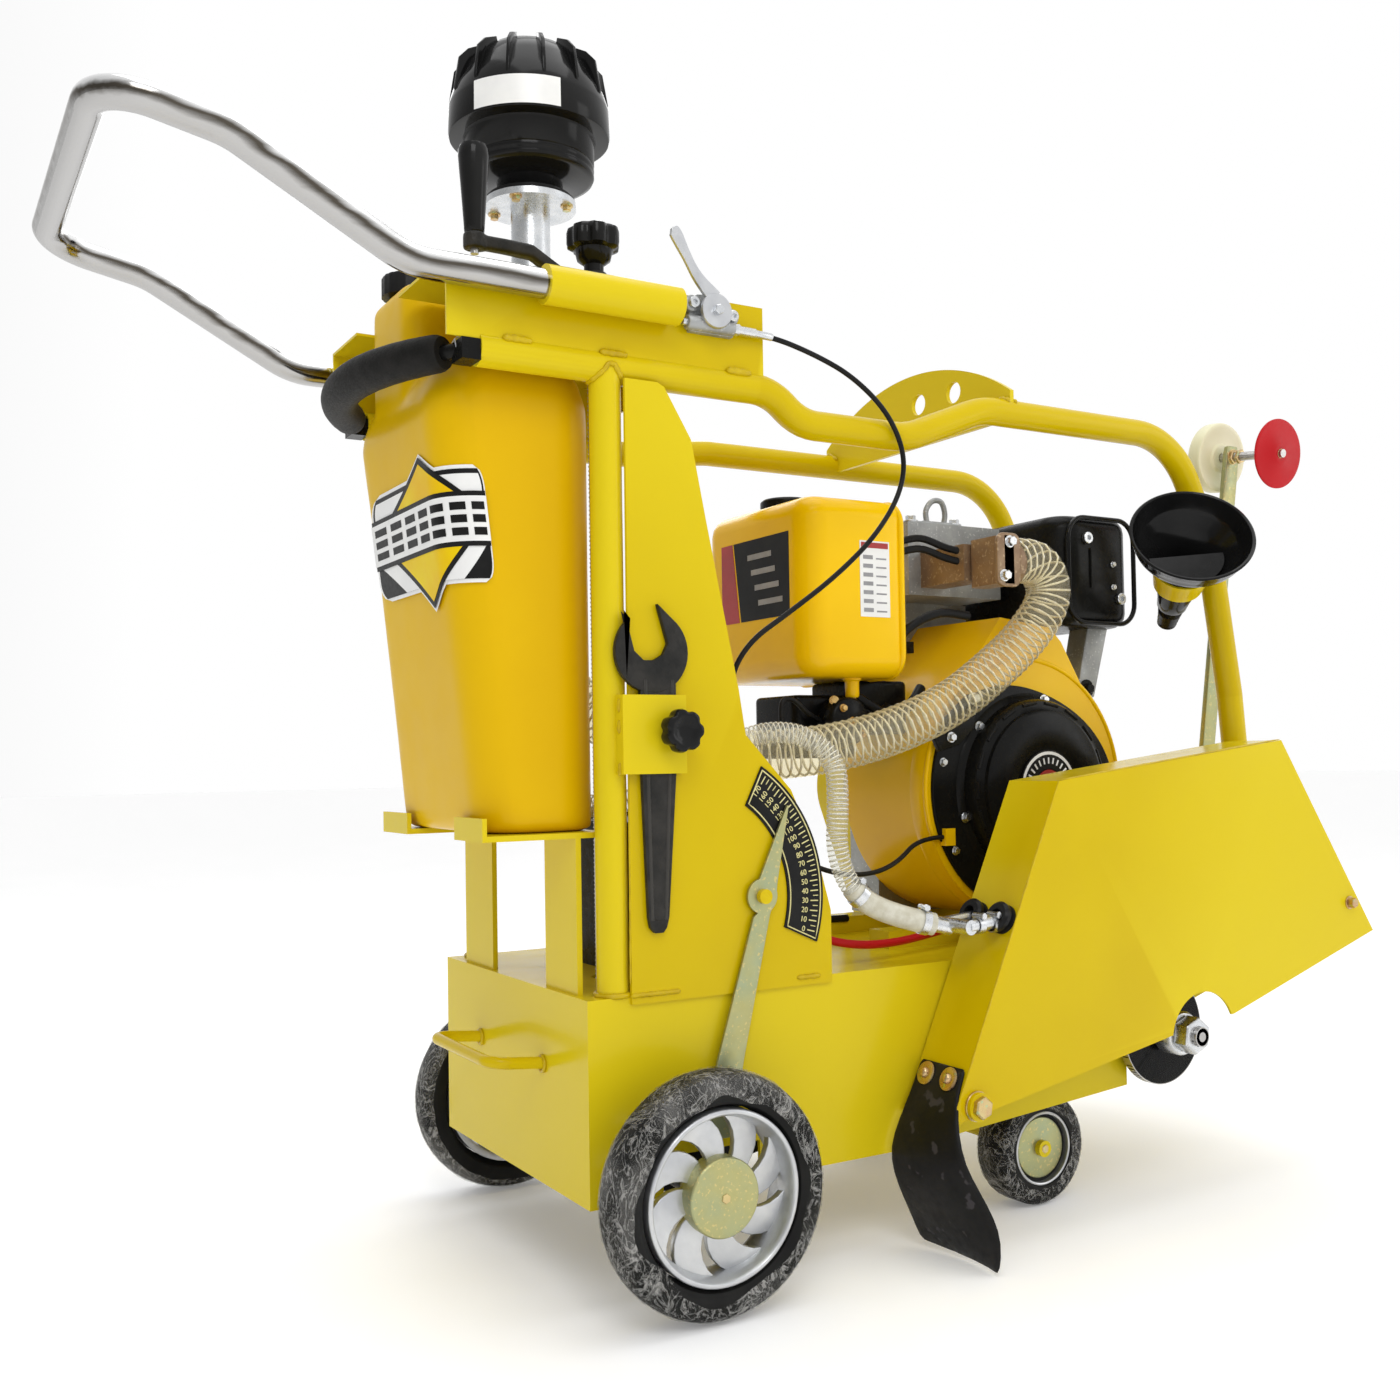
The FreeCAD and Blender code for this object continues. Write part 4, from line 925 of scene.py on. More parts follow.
def tank():
    """The moulded tank, from sections (z, rear x, front x, right y, left y, corner radius)."""
    sections = [(487, -72, 42, -140, 130, 36), (491, -82, 50, -148, 138, 44), (500, -86, 50, -150, 140, 48),
                (620, -98, 50, -150.5, 140.5, 49), (760, -113, 50, -151, 141, 50),
                (900, -131, 50, -152, 142, 50), (925, -134, 50, -152, 142, 50),
                (944, -131, 50, -151, 141, 50), (962, -124, 46, -147, 137, 50),
                (975, -117, 43, -142, 132, 48), (984, -106, 34, -132, 122, 44)]
    body = loft([[(x, y, z) for x, y in round_rect(x0, x1, y0, y1, r, 7)]
                 for z, x0, x1, y0, y1, r in sections])
    hump = soft_case(-128, -52, -46, 92, 900, 1086, 26, 12, 7)
    neck = aimed(lathe([(24, 0), (24, 30), (0, 30)], 40), (-92, 50, 1066), UP)
    piece("tank_shell", "chassis", "tank_plastic", ("amber", joined(body, hump, neck)),
          replaces=["water_tank"], remesh=4.5, sharp=60)
    steps = 60
    rib_depth = 0.8
    rings = []
    for radius, z in ((32, 0), (32, 20), (30, 23.4), (22, 24), (8, 22), (0.5, 22)):
        ring = []
        for i in range(steps):
            turn = 2 * math.pi * i / steps
            r = radius - rib_depth if i % 3 == 0 and radius > 29 else radius
            ring.append((r * math.cos(turn), r * math.sin(turn), z))
        rings.append(ring)
    piece("tank_cap_ribbed", "tank_cap", "black_plastic", ("black", aimed(loft(rings), (-92, 50, 1094), UP)),
          replaces=["tank_cap"])


def on_tank(across, up, lift):
    """A point on the tank's skin: across runs from -1 to 1 over the badge, round the right rear corner."""
    middle_z = 806
    left_y = -5
    flat = 96
    corner = 50.0
    z = middle_z + up
    rear = -84 - 50 * (z - 487) / 438
    along = 76 + 131 * across - 42 * across ** 2
    past = along - flat
    if past <= 0:
        return Vector((rear - lift, left_y - along, z))
    turn = min(past / corner, math.pi / 2)
    reach = corner + lift
    return Vector((rear + corner - reach * math.cos(turn), left_y - flat - reach * math.sin(turn), z))


def badge_patch(left, right, low, high, lift, rows=22, columns=22):
    """A patch of the badge between two edges, which are functions of the height."""
    verts, faces = [], []
    for j in range(rows + 1):
        up = low + (high - low) * j / rows
        for k in range(columns + 1):
            verts.append(on_tank(left(up) + (right(up) - left(up)) * k / columns, up, lift))
    wide = columns + 1
    for j in range(rows):
        for k in range(columns):
            a = j * wide + k
            faces.append((a, a + 1, a + wide + 1, a + wide))
    return verts, faces


def tank_badge():
    """A plain badge: a yellow diamond behind a rounded plate, dark bands and rows of blocks, and no words."""
    half_width, half_height, corner = 135.0, 60.0, 24.0

    def rounded(inset):
        def half(up):
            past = abs(up) - (half_height - corner)
            dip = corner - math.sqrt(max(0.0, corner ** 2 - past ** 2)) if past > 0 else 0.0
            return 1.0 - (inset + dip) / half_width
        return half

    def diamond(grow):
        top, bottom = 73 + grow * 1.8, 78 + grow * 1.8

        def half(up):
            return max(0.0, 0.65 * (top - up) / 45 if up > 5 else 0.65 * (up + bottom) / 60)
        return half

    def patch(half, low, high, lift):
        return badge_patch(lambda up: -half(up), half, low, high, lift)

    white = [patch(rounded(0), -60, 60, 0.9), patch(diamond(4), 28, 80, 1.1),
             patch(diamond(4), -85, -18, 1.1)]
    ink = [patch(rounded(4), -56, 56, 1.4)]
    panels = [patch(rounded(9), 28, 51, 1.8)]
    panels.append(patch(lambda up: min(diamond(15)(up), rounded(9)(up)), -56, -18, 1.8))
    ink.append(patch(diamond(2), 28, 76.5, 2.2))
    ink.append(patch(diamond(2), -81.5, -18, 2.2))
    ink.append(patch(rounded(2), -23, 33, 3.0))
    panels.append(patch(rounded(1), -18, 28, 3.4))
    yellow = [patch(diamond(-2), 28, 69.3, 2.6), patch(diamond(-2), -74.3, -18, 2.6)]
    for n in range(7):
        middle = -0.84 + 0.28 * n
        for low in (-12, 1, 14):
            ink.append(badge_patch(lambda up: middle - 0.10, lambda up: middle + 0.10, low, low + 8, 3.7,
                                   rows=2, columns=6))
    piece("tank_badge", "chassis", "black_plastic", ("white", joined(*white, *panels)), ("ink", joined(*ink)),
          ("label_yellow", joined(*yellow)))


# ---------------------------------------------------------------- pre-cleaner and control column

def precleaner():
    bowl = [(0, 0), (53, 0), (54, 1), (54, 6), (45, 9), (42, 12), (42, 25), (46, 27), (74, 29), (80, 30.5),
            (81.6, 33), (81.6, 36), (80, 37.2), (80, 39.5), (81.6, 41), (81.6, 44), (80, 45.2), (80, 47.5),
            (81.8, 49), (82, 76), (84, 79.5)]
    cap = [(98, 80), (101, 80.6), (102, 83), (102, 114), (101, 118), (97, 132), (89, 146), (80, 164),
           (70, 177), (58, 187), (42, 193.5), (22, 198), (0, 199)]
    piece("precleaner_shell", "chassis", "black_plastic",
          ("gloss", aimed(lathe(bowl + cap, 96), PRECLEANER, UP)), replaces=["precleaner"], sharp=50)
    fins = []
    fin_count = 14
    outline = [(60, 184), (80, 162), (90, 143), (99, 122), (100.5, 128), (94, 167), (82, 180), (62, 190)]
    for n in range(fin_count):
        turn = 2 * math.pi * n / fin_count
        fin = side_slab(outline, -2.2, 2.2)
        fins.append(placed(fin, Matrix.Translation(PRECLEANER) @ Matrix.Rotation(turn, 4, "Z")))
    piece("precleaner_fins", "chassis", "black_plastic", ("gloss", joined(*fins)), bevel=0.8)
    plate_turn = math.radians(-123)
    plate_half = 0.54
    columns = 16
    verts = []
    for z, r in ((82.5, 103.0), (118, 102.6)):
        for k in range(columns + 1):
            turn = plate_turn + plate_half * (2 * k / columns - 1)
            verts.append(PRECLEANER + Vector((r * math.cos(turn), r * math.sin(turn), z)))
    faces = [(i, i + 1, columns + 2 + i, columns + 1 + i) for i in range(columns)]
    piece("precleaner_plate", "chassis", "black_plastic", ("white", (verts, faces)))
    heads = []
    for n in range(4):
        turn = math.radians(45 + 90 * n)
        spot = PRECLEANER + Vector((49 * math.cos(turn), 49 * math.sin(turn), -8))
        heads.append(bolt(spot, -UP, 10, 5, 8))
    piece("precleaner_bolts", "chassis", "zinc", ("gold", joined(*heads)))
    piece("precleaner_gasket", "chassis", "black_plastic",
          ("black", aimed(lathe([(40, 0), (57, 0), (57, 3), (40, 3)], 64, True), PRECLEANER, UP)))


def star_knob(name, body, centre, direction, radius, height, stem_r, stem, finish):
    """A glossy seven-lobed knob with a dished face on a stepped stem."""
    steps = 140
    lobes = 7
    groove = 0.11
    rows = [(0.80, 0), (0.97, 0.10), (1.0, 0.30), (1.0, 0.72), (0.95, 0.93), (0.84, 1.0), (0.66, 1.0),
            (0.50, 0.86), (0.25, 0.80), (0.02, 0.79)]
    rings = []
    for share, level in rows:
        ring = []
        for i in range(steps):
            turn = 2 * math.pi * i / steps
            lobe = math.cos(lobes * turn)
            depth = groove * max(0.0, (share - 0.45) / 0.55)
            r = radius * share * (1 - depth * (1 - lobe) ** 2 / 4 * 1.3)
            ring.append((r * math.cos(turn), r * math.sin(turn), stem + height * level))
        rings.append(ring)
    collar = lathe([(0, stem * 0.35), (stem_r * 2.2, stem * 0.35), (stem_r * 2.3, stem * 0.7),
                    (radius * 0.62, stem * 0.80), (radius * 0.72, stem + 1), (0, stem + 1)], 40)
    shaft = lathe([(0, 0), (stem_r, 0), (stem_r, stem * 0.5), (0, stem * 0.5)], 28)
    piece(name, body, "black_plastic", ("gloss", aimed(joined(loft(rings), collar), centre, direction)),
          (finish, aimed(shaft, centre, direction)), replaces=[name.replace("_moulded", "")], sharp=45)


def crank():
    """The depth crank: a cast arm and hub, its long screw, and the grip that turns on its end."""
    x, y = DEPTH_SCREW.x, DEPTH_SCREW.y
    grip_x = x - 145
    screw_low, screw_high = 146, 1090
    line = [(x, y, 1096), (x - 24, y, 1100), (x - 78, y, CRANK_Z + 3), (x - 110, y, CRANK_Z + 4),
            (grip_x, y, CRANK_Z + 4)]
    path = []
    for a, b in zip(line, line[1:]):
        path.extend(Vector(a).lerp(Vector(b), k / 4) for k in range(4))
    path.append(Vector(line[-1]))
    widths = [9.5 - 2.0 * i / len(path) for i in range(len(path))]
    rings = []
    for here, half in zip(path, widths):
        rings.append([here + Vector((0, dy, dz)) for dy, dz in round_rect(-half, half, -7.5, 7.5, 3.5, 3)])
    eye = aimed(lathe([(12.5, -7), (12.5, 9), (11, 11), (0, 11)], 40), (grip_x, y, CRANK_Z + 2), UP)
    hub = aimed(lathe([(15, 0), (16.5, 2), (16.5, 20), (24, 22), (25.5, 25), (25.5, 31), (24, 33), (16, 34),
                       (15, 42), (0, 42)], 48), (x, y, PANEL_TOP + 15), UP)
    piece("crank_casting", "depth_crank", "black_cast", ("cast_black", joined(loft(rings), eye, hub)),
          remesh=1.6, sharp=70)
    length = screw_high - screw_low
    screw = aimed(lathe([(9, 0), (9, length), (0, length)], 24), (x, y, screw_low), UP)
    turns = helix([(x, y, 150), (x, y, 1040)], 8.8, 5.0, 14)
    spindle = tube([(grip_x, y, CRANK_Z - 10), (grip_x, y, CRANK_Z + 20)], 4.5, 20)
    nut = bolt((x - 18, y - 3, 1104), (-0.35, -0.3, 0.88), 13, 9, 9)
    piece("crank_screw", "depth_crank", "steel", ("steel", joined(screw, tube(turns, 1.1, 5), spindle)),
          replaces=["depth_crank"], sharp=45)
    piece("crank_bolt", "depth_crank", "zinc", ("gold", nut))
    grip = [(5.05, 0), (9.5, 0), (11, 2), (11.5, 8), (13, 30), (15.5, 64), (17, 84), (16.6, 92), (14.5, 97),
            (10, 98), (5.05, 98)]
    piece("crank_grip_handle", "crank_grip", "black_plastic",
          ("gloss", aimed(lathe(grip, 48, True), (grip_x, y, CRANK_Z + 12.5), UP)), replaces=["crank_grip"],
          sharp=50)
    star_knob("lock_knob_moulded", "lock_knob", Vector((x, y, CRANK_Z - 40)), UP, 31, 26, 5, 58, "chrome")


def throttle():
    x, z = THROTTLE_PIVOT.x, THROTTLE_PIVOT.z
    case = [(132, 1021), (186, 1021), (187, 1036), (184, 1046), (177, 1058), (158, 1064), (141, 1062),
            (133, 1052), (131, 1040)]
    parts = [side_slab(case, -203, -195)]
    for cx, cz in ((133, 1050), (182, 1042)):
        parts.append(aimed(lathe([(9, 0), (9, 12), (7.5, 13), (0, 13)], 28), (cx, -195, cz), RIGHTWARD))
    parts.append(tube([(127, -203, 1030), (129, -203, 1030), (184, -203, 1030), (186, -203, 1030)],
                      [7.0, 8.4, 8.4, 7.4], 24))
    parts.append(aimed(lathe([(5, 0), (5, 16), (0, 16)], 20), (x, -203, z), RIGHTWARD))
    piece("throttle_casting", "chassis", "engine_alloy", ("casting", joined(*parts)),
          replaces=["throttle_body"], bevel=0.7)
    screws = [socket_screw((cx, -208, cz), RIGHTWARD, 6.2, 5) for cx, cz in ((133, 1050), (182, 1042))]
    cable_end = lathe([(4.2, 0), (4.2, 5), (3.0, 5.4), (2.8, 2), (0, 2)], 20)
    screws.append(aimed(cable_end, (127, -203, 1030), -FORWARD))
    piece("throttle_screws", "chassis", "zinc", ("zinc", joined(*screws)))
    ferrule = tube([(186, -203, 1030), (192, -203, 1030), (193, -203, 1029.8), (214, -203, 1029.4),
                    (215, -203, 1029.3), (236, -203, 1028.2), (237, -203, 1028)],
                   [6.8, 6.8, 5.2, 5.2, 4.2, 4.2, 3.4], 20)
    piece("throttle_ferrule", "chassis", "zinc", ("zinc", ferrule))

    disc = aimed(lathe([(5.05, 0), (18.2, 0), (19, 1), (19, 5), (18.2, 6), (5.05, 6)], 56, True),
                 (x, -211, z), RIGHTWARD)
    middle = through([(x - 2, z + 14), (x - 22, z + 34), (x - 36, z + 56), (x - 48, z + 76),
                      (x - 53, z + 81)], 6)
    widths = [9, 8.6, 8, 7.5, 7, 6.6, 6.2, 5.9, 5.6, 5.4, 5.3, 5.4, 5.6, 5.9, 6.3, 6.7, 7.0, 7.2, 7.2,
              7.0, 6.6, 6.0, 5.0, 3.6, 1.6]
    rings = []
    for i, here in enumerate(middle):
        here = Vector((here.x, 0, here.y))
        ahead = middle[min(i + 1, len(middle) - 1)]
        behind = middle[max(i - 1, 0)]
        run = Vector((ahead.x - behind.x, 0, ahead.y - behind.y)).normalized()
        side = run.cross(LEFTWARD)
        half = widths[i]
        lean = -214 + 1.5 * math.sin(math.pi * i / len(middle))
        section = round_rect(-half, half, -2.6, 2.6, 1.5, 3)
        rings.append([here + side * u + LEFTWARD * (lean + v) for u, v in section])
    piece("throttle_lever_cast", "throttle_lever", "cast_alloy", ("alloy", joined(disc, loft(rings))),
          replaces=["throttle_lever"], sharp=50)
    piece("throttle_pivot_bolt", "chassis", "zinc", ("zinc", bolt((x, -217, z), RIGHTWARD, 10, 6)))


def padded_bar():
    """The foam sleeve on the bowed rear bar, a little fuller in the middle and pinched at its ends."""
    bar_x = -118
    bow, chord = 60.0, 172.0
    circle = (chord ** 2 + bow ** 2) / (2 * bow)
    full = math.asin(chord / circle)
    centre = Vector((bar_x - bow + circle, 0, RAIL_Z))
    line, radii = [], []
    count = 72
    for i in range(count + 1):
        t = 2 * i / count - 1
        turn = full * 0.9 * t
        line.append(centre + Vector((-circle * math.cos(turn), circle * math.sin(turn), 0)))
        edge = min(1.0, (1 - abs(t)) * 22)
        radii.append((19.0 + 1.7 * (1 - t * t)) * (0.86 + 0.14 * math.sqrt(edge))
                     + 0.25 * noise.noise(Vector((i * 0.4, 0, 2))))
    pad = piece("bar_pad_foam", "chassis", "foam", ("foam", tube(line, radii, 40)), replaces=["bar_pad"],
                sharp=50)
    ends = []
    for sign in (-1, 1):
        ends.append(bolt((-115, sign * chord, RAIL_Z + 4), (-0.35, sign * 0.9, 0.2), 15, 10, 11))
    piece("bar_pad_bolts", "chassis", "zinc", ("zinc", joined(*ends)))


# ---------------------------------------------------------------- depth gauge and wrench

def numeral(words, base, along, up):
    """Raised figures whose right end is at base, reading along one direction with up across it."""
    text = bpy.data.curves.new("numeral", "FONT")
    text.body = words
    text.size = 8.6
    text.extrude = 0.35
    text.align_x = "RIGHT"
    text.align_y = "CENTER"
    guide = bpy.data.objects.new("numeral", text)
    bpy.context.scene.collection.objects.link(guide)
    bpy.context.view_layer.update()
    view = bpy.context.evaluated_depsgraph_get()
    mesh = bpy.data.meshes.new_from_object(guide.evaluated_get(view))
    verts = [base + along * v.co.x + up * v.co.y + RIGHTWARD * (v.co.z + 0.2) for v in mesh.vertices]
    faces = [tuple(p.vertices) for p in mesh.polygons]
    bpy.data.objects.remove(guide)
    bpy.data.curves.remove(text)
    bpy.data.meshes.remove(mesh)
    return verts, faces


def depth_gauge():
    """Border, ticks and numerals of the cutting-depth scale, and its pointer."""
    deepest = 170
    first_angle, sweep_angle = -15.5, 70
    outer_edge, inner_edge = 163.5, 123.5

    def on(angle, radius):
        turn = math.radians(angle)
        return SCALE_CENTRE + Vector((radius * math.cos(turn), 0, radius * math.sin(turn)))

    edge = [on(a, outer_edge) for a in [*range(-18, 58, 3), 57]]
    edge += [on(a, inner_edge) for a in [*range(55, -16, -3), -16]]
    parts = [tube(edge, 0.8, 6, closed=True)]
    numbers = []
    for depth in range(0, deepest + 1, 5):
        angle = first_angle + sweep_angle * depth / deepest
        if depth % 10:
            parts.append(tube([on(angle, 153.5), on(angle, 160)], 0.55, 6))
            continue
        parts.append(tube([on(angle, 150), on(angle, 160)], 0.75, 6))
        turn = math.radians(angle)
        along = Vector((math.cos(turn), 0, math.sin(turn)))
        up = Vector((-math.sin(turn), 0, math.cos(turn)))
        numbers.append(numeral(str(depth), on(angle, 147), along, up))
    piece("depth_scale_marks", "chassis", "black_metal", ("brass_ink", joined(*parts, *numbers)), sharp=30)

    x, z = POINTER_PIVOT.x, POINTER_PIVOT.z
    boss = arc((x, -207, z), 19, 15, -55, FORWARD, UP, 8)
    boss_back = arc((x, -207, z), 19, 250, 100, FORWARD, UP, 14)
    outline = [(243, 509), (x + 19, z + 12)] + [(p.x, p.z) for p in boss]
    outline += [(x + 9, z - 20), (180, 242), (163, 160), (128, 160), (147, 242), (x - 12, z - 22)]
    outline += [(p.x, p.z) for p in boss_back]
    outline += [(241, 509)]
    piece("depth_pointer_leaf", "depth_pointer", "zinc", ("olive", side_slab(outline, -211, -207.2)),
          replaces=["depth_pointer"], bevel=0.5)


def wrench():
    """The arbor wrench: an open jaw leaning on a tapered shank, held by its star knob."""
    cx, cz = 75, 674
    head_r = 43
    lean = math.radians(15)
    jaw = [(20, 47), (21, 4), (12, -6), (0, -9), (-12, -6), (-20, 6), (-20, 46)]

    def rim(angles):
        turns = [math.radians(a) for a in angles]
        return [(cx + head_r * math.cos(turn), cz + head_r * math.sin(turn)) for turn in turns]

    outline = rim(range(-82, 62, 8))
    for u, v in jaw:
        outline.append((cx + u * math.cos(lean) - v * math.sin(lean),
                        cz + v * math.cos(lean) + u * math.sin(lean)))
    outline += rim(range(128, 262, 8))
    head = side_slab(outline, -211.4, -204.6)
    shank = side_slab([(61, 650), (61, 560), (67, 398), (69, 388), (74, 382), (84, 382), (88, 387), (91, 398),
                       (103, 560), (103, 650)], -211, -204.6)
    rails = []
    for a, b in (((66, 645), (71, 395)), ((98, 645), (87, 395))):
        rails.append(tube([(a[0], -209.6, a[1]), (b[0], -209.6, b[1])], [3.0, 2.6], 10))
    stop = aimed(lathe([(8, 0), (8, 2.2), (6, 3), (0, 3)], 28), (79, -209, 402), RIGHTWARD)
    piece("wrench_casting", "wrench", "black_cast", ("cast_black", joined(head, shank, *rails, stop)),
          replaces=["wrench"], bevel=1.1)
    star_knob("wrench_knob_moulded", "wrench_knob", WRENCH_KNOB, RIGHTWARD, 23, 18, 5, 12, "steel")


# ---------------------------------------------------------------- engine

def fuel_tank():
    case = soft_case(352, 520, -98, 147, 660, 885, 34, 26, 8)
    seam = tube([Vector((498, y, z)) for y, z in round_rect(-97, 146, 662, 883, 30, 8)], 4.2, 10, closed=True)
    piece("fuel_tank_shell", "chassis", "tank_plastic", ("shroud", joined(case, seam)),
          replaces=["fuel_tank"], sharp=60)
    cap = lathe([(0, 0), (30, 0), (34, 2), (34, 17), (31, 20), (0, 20)], 48)
    piece("fuel_cap", "chassis", "black_plastic", ("enamel", aimed(cap, (430, 60, 885), UP)), bevel=1.0)
    stays = [box(520, 596, y, y + 20, 700, 716) for y in (0, 90)]
    piece("fuel_tank_stays", "chassis", "engine_paint", ("enamel", joined(*stays)), bevel=1.5)
    cock = lathe([(0, 0), (8, 0), (9, 2), (9, 20), (12, 22), (12, 30), (0, 30)], 32)
    piece("fuel_cock", "chassis", "tank_plastic", ("shroud", aimed(cock, (445, -60, 636), UP)))
    piece("fuel_cock_nut", "chassis", "zinc", ("brass", bolt((445, -60, 640), -UP, 12, 6)))

    thick = 0.5
    y = -98.6
    plain = box(432, 478, y, y + thick, 735, 830)
    head = box(434, 476, y - 0.3, y - 0.3 + thick, 821, 828)
    rows = []
    for k in range(7):
        z = 741 + 11 * k
        rows.append(box(437, 452, y - 0.3, y - 0.3 + thick, z, z + 5))
        rows.append(box(457, 473, y - 0.3, y - 0.3 + thick, z, z + 2))
    piece("fuel_tank_plate", "chassis", "tank_plastic", ("white", plain), ("label_red", head),
          ("grey_ink", joined(*rows)))
    x = 351.6
    dark = slab([(x, -60, 738), (x, 52, 738), (x, 68, 842), (x, -60, 842)], (thick, 0, 0))
    red = slab([(x - 0.1, 56, 738), (x - 0.1, 98, 738), (x - 0.1, 98, 842), (x - 0.1, 71, 842)],
               (thick, 0, 0))
    rows = []
    for k in range(4):
        z = 756 + 20 * k
        rows.append(box(x - 0.4, x - 0.4 + thick, -45 + 8 * k, 10 + 8 * k, z, z + 7))
    piece("fuel_tank_panel", "chassis", "tank_plastic", ("ink", dark), ("label_red", red),
          ("grey_ink", joined(*rows)))


def engine_top():
    """The finned head with its lifting eye, and the carburettor and pipes behind it."""
    head = []
    for level in range(6):
        z = 786 + 15 * level
        head.append(box(594, 750, 2, 118, z, z + 6))
    head.append(box(606, 742, 12, 108, 780, 874))
    cover = soft_case(600, 700, 6, 112, 868, 884, 14, 5)
    eye = tube(through([(640, 20, 880), (636, 18, 900), (646, 16, 914), (662, 16, 914), (670, 18, 898),
                        (668, 20, 880)], 5), 4.0, 10)
    hook = box(628, 680, 14, 19, 868, 886)
    bolts = [bolt((x, y, 884), UP, 12, 7, 10) for x in (612, 690) for y in (22, 96)]
    piece("engine_head_fins", "chassis", "engine_alloy", ("casting", joined(*head, cover, eye, hook)),
          bevel=0.8)
    piece("engine_head_bolts", "chassis", "zinc", ("zinc", joined(*bolts)))
    parts = [soft_case(372, 470, -40, 60, 560, 640, 12, 6)]
    bell = lathe([(0, 0), (26, 0), (30, 4), (30, 34), (26, 38), (0, 38)], 40)
    parts.append(aimed(bell, (430, -40, 606), RIGHTWARD))
    parts.append(soft_case(470, 560, -30, 70, 590, 660, 10, 6))
    parts.append(tube(through([(452, -62, 636), (474, -72, 620), (500, -66, 610), (540, -58, 628),
                               (566, -48, 650)], 6), 7, 14))
    parts.append(tube(through([(404, -52, 600), (386, -62, 590), (392, -70, 574), (440, -72, 590),
                               (500, -62, 622)], 6), 9, 14))
    piece("carburettor", "chassis", "black_metal", ("enamel", joined(*parts)), sharp=50)
    wire = tube(through([(402, -52, 606), (376, -60, 616), (352, -64, 632), (336, -64, 630), (334, -64, 606),
                         (338, -64, 580), (352, -64, 580), (384, -58, 592), (404, -52, 598)], 6), 3.2, 10)
    piece("choke_loop", "chassis", "black_plastic", ("black", wire), sharp=60)
    screws = [bolt((x, -79, z), RIGHTWARD, 7, 4, 5) for x, z in ((430, 606), (416, 622), (446, 590))]
    screws.append(bolt((412, -66, 632), (-0.5, -0.8, 0), 8, 6, 6))
    piece("carburettor_screws", "chassis", "zinc", ("brass", joined(*screws)))
    leads = []
    for drop in (0, 14):
        leads.append(tube(through([(520, -52, 838 - drop), (560, -60, 846 - drop), (598, -70, 834 - drop),
                                   (634, -84, 826 - drop)], 6), 5.0, 10))
    leads.append(tube(through([(498, -72, 700), (522, -88, 728), (560, -96, 744), (606, -98, 742)], 6),
                      6.0, 10))
    piece("breather_pipes", "chassis", "black_plastic", ("black", joined(*leads)), sharp=60)


def fan_and_recoil():
    """Rolled-steel fan shroud with its duct, and the black starter cover with its pressed dish."""
    x, z = CRANKSHAFT.x, CRANKSHAFT.z
    y = -85

    def around(turn, radius, depth):
        return Vector((x + radius * math.cos(turn), depth, z + radius * math.sin(turn)))

    dish = [(0, 0), (127, 0), (127, 5), (123, 8), (118, 10), (118, 24), (115, 29), (108, 31), (104, 33),
            (103, 38), (98, 41), (60, 42), (57, 40.6), (30, 40.6), (27, 42), (0, 42)]
    piece("recoil_dish", "chassis", "black_metal", ("enamel", aimed(lathe(dish, 96), (x, y, z), RIGHTWARD)),
          replaces=["recoil_cover"], sharp=40)
    vents = []
    vent_count = 18
    for n in range(vent_count):
        turn = 2 * math.pi * n / vent_count
        spot = around(turn, 112, y - 29.6)
        side = Vector((-math.sin(turn), 0, math.cos(turn)))
        vents.append(tube([spot - side * 12, spot + side * 12], 2.4, 8))
    piece("recoil_vents", "chassis", "black_metal", ("black", joined(*vents)))
    bolts = []
    for n in range(6):
        bolts.append(bolt(around(2 * math.pi * n / 6 + 0.3, 121, y - 8), RIGHTWARD, 9, 5, 7))
    for n in range(5):
        bolts.append(bolt(around(2 * math.pi * n / 8 + 2.9, 152, y - 3.5), RIGHTWARD, 8, 4, 6))
    piece("recoil_bolts", "chassis", "zinc", ("zinc", joined(*bolts)))
    outline = []
    for n in range(96):
        turn = 2 * math.pi * n / 96
        reach = 166 - 36 * max(0.0, math.sin(turn + 0.35)) ** 2
        outline.append((x + reach * math.cos(turn), z + reach * math.sin(turn)))
    piece("fan_face", "chassis", "black_metal", ("enamel", side_slab(outline, y - 5, y + 0.3)), bevel=1.5)
    rim = tube(arc((x, y + 1, z), 173.0, -42, 200, FORWARD, UP, 80), 3.4, 10)
    lip = aimed(lathe([(170, 2), (175.5, 2), (176.5, 8), (176.5, 22), (174, 30), (170, 30)], 96, True),
                (x, y + 32, z), RIGHTWARD)
    piece("fan_shroud_rim", "chassis", "engine_paint", ("shroud", joined(rim, lip)), sharp=60)
    bracket = [(562, 610), (600, 640), (612, 628), (606, 596), (580, 574), (548, 566), (540, 582), (556, 596)]
    piece("governor_arm", "chassis", "black_metal", ("enamel", side_slab(bracket, -106, -98)), bevel=1.0)
    screws = joined(bolt((604, -106, 634), RIGHTWARD, 11, 8, 8), bolt((566, -106, 584), RIGHTWARD, 9, 5, 7))
    piece("governor_screw", "chassis", "zinc", ("zinc", screws))
    front = (x, y - 42.0, z)
    badge = aimed(lathe([(0, 0), (50, 0), (50, 0.6), (0, 0.6)], 48), front, RIGHTWARD)
    ring = aimed(lathe([(44, 0.6), (48, 0.6), (48, 1.0), (44, 1.0)], 48, True), front, RIGHTWARD)
    ticks = []
    tick_count = 28
    for n in range(tick_count):
        turn = 2 * math.pi * n / tick_count
        ticks.append(tube([around(turn, 32, front[1]), around(turn, 40, front[1])], 1.6, 6))
    core = aimed(lathe([(0, 0.6), (24, 0.6), (24, 1.0), (0, 1.0)], 40), front, RIGHTWARD)
    piece("recoil_badge", "chassis", "black_metal", ("ink", badge), ("white", joined(ring, *ticks)),
          ("label_red", core))


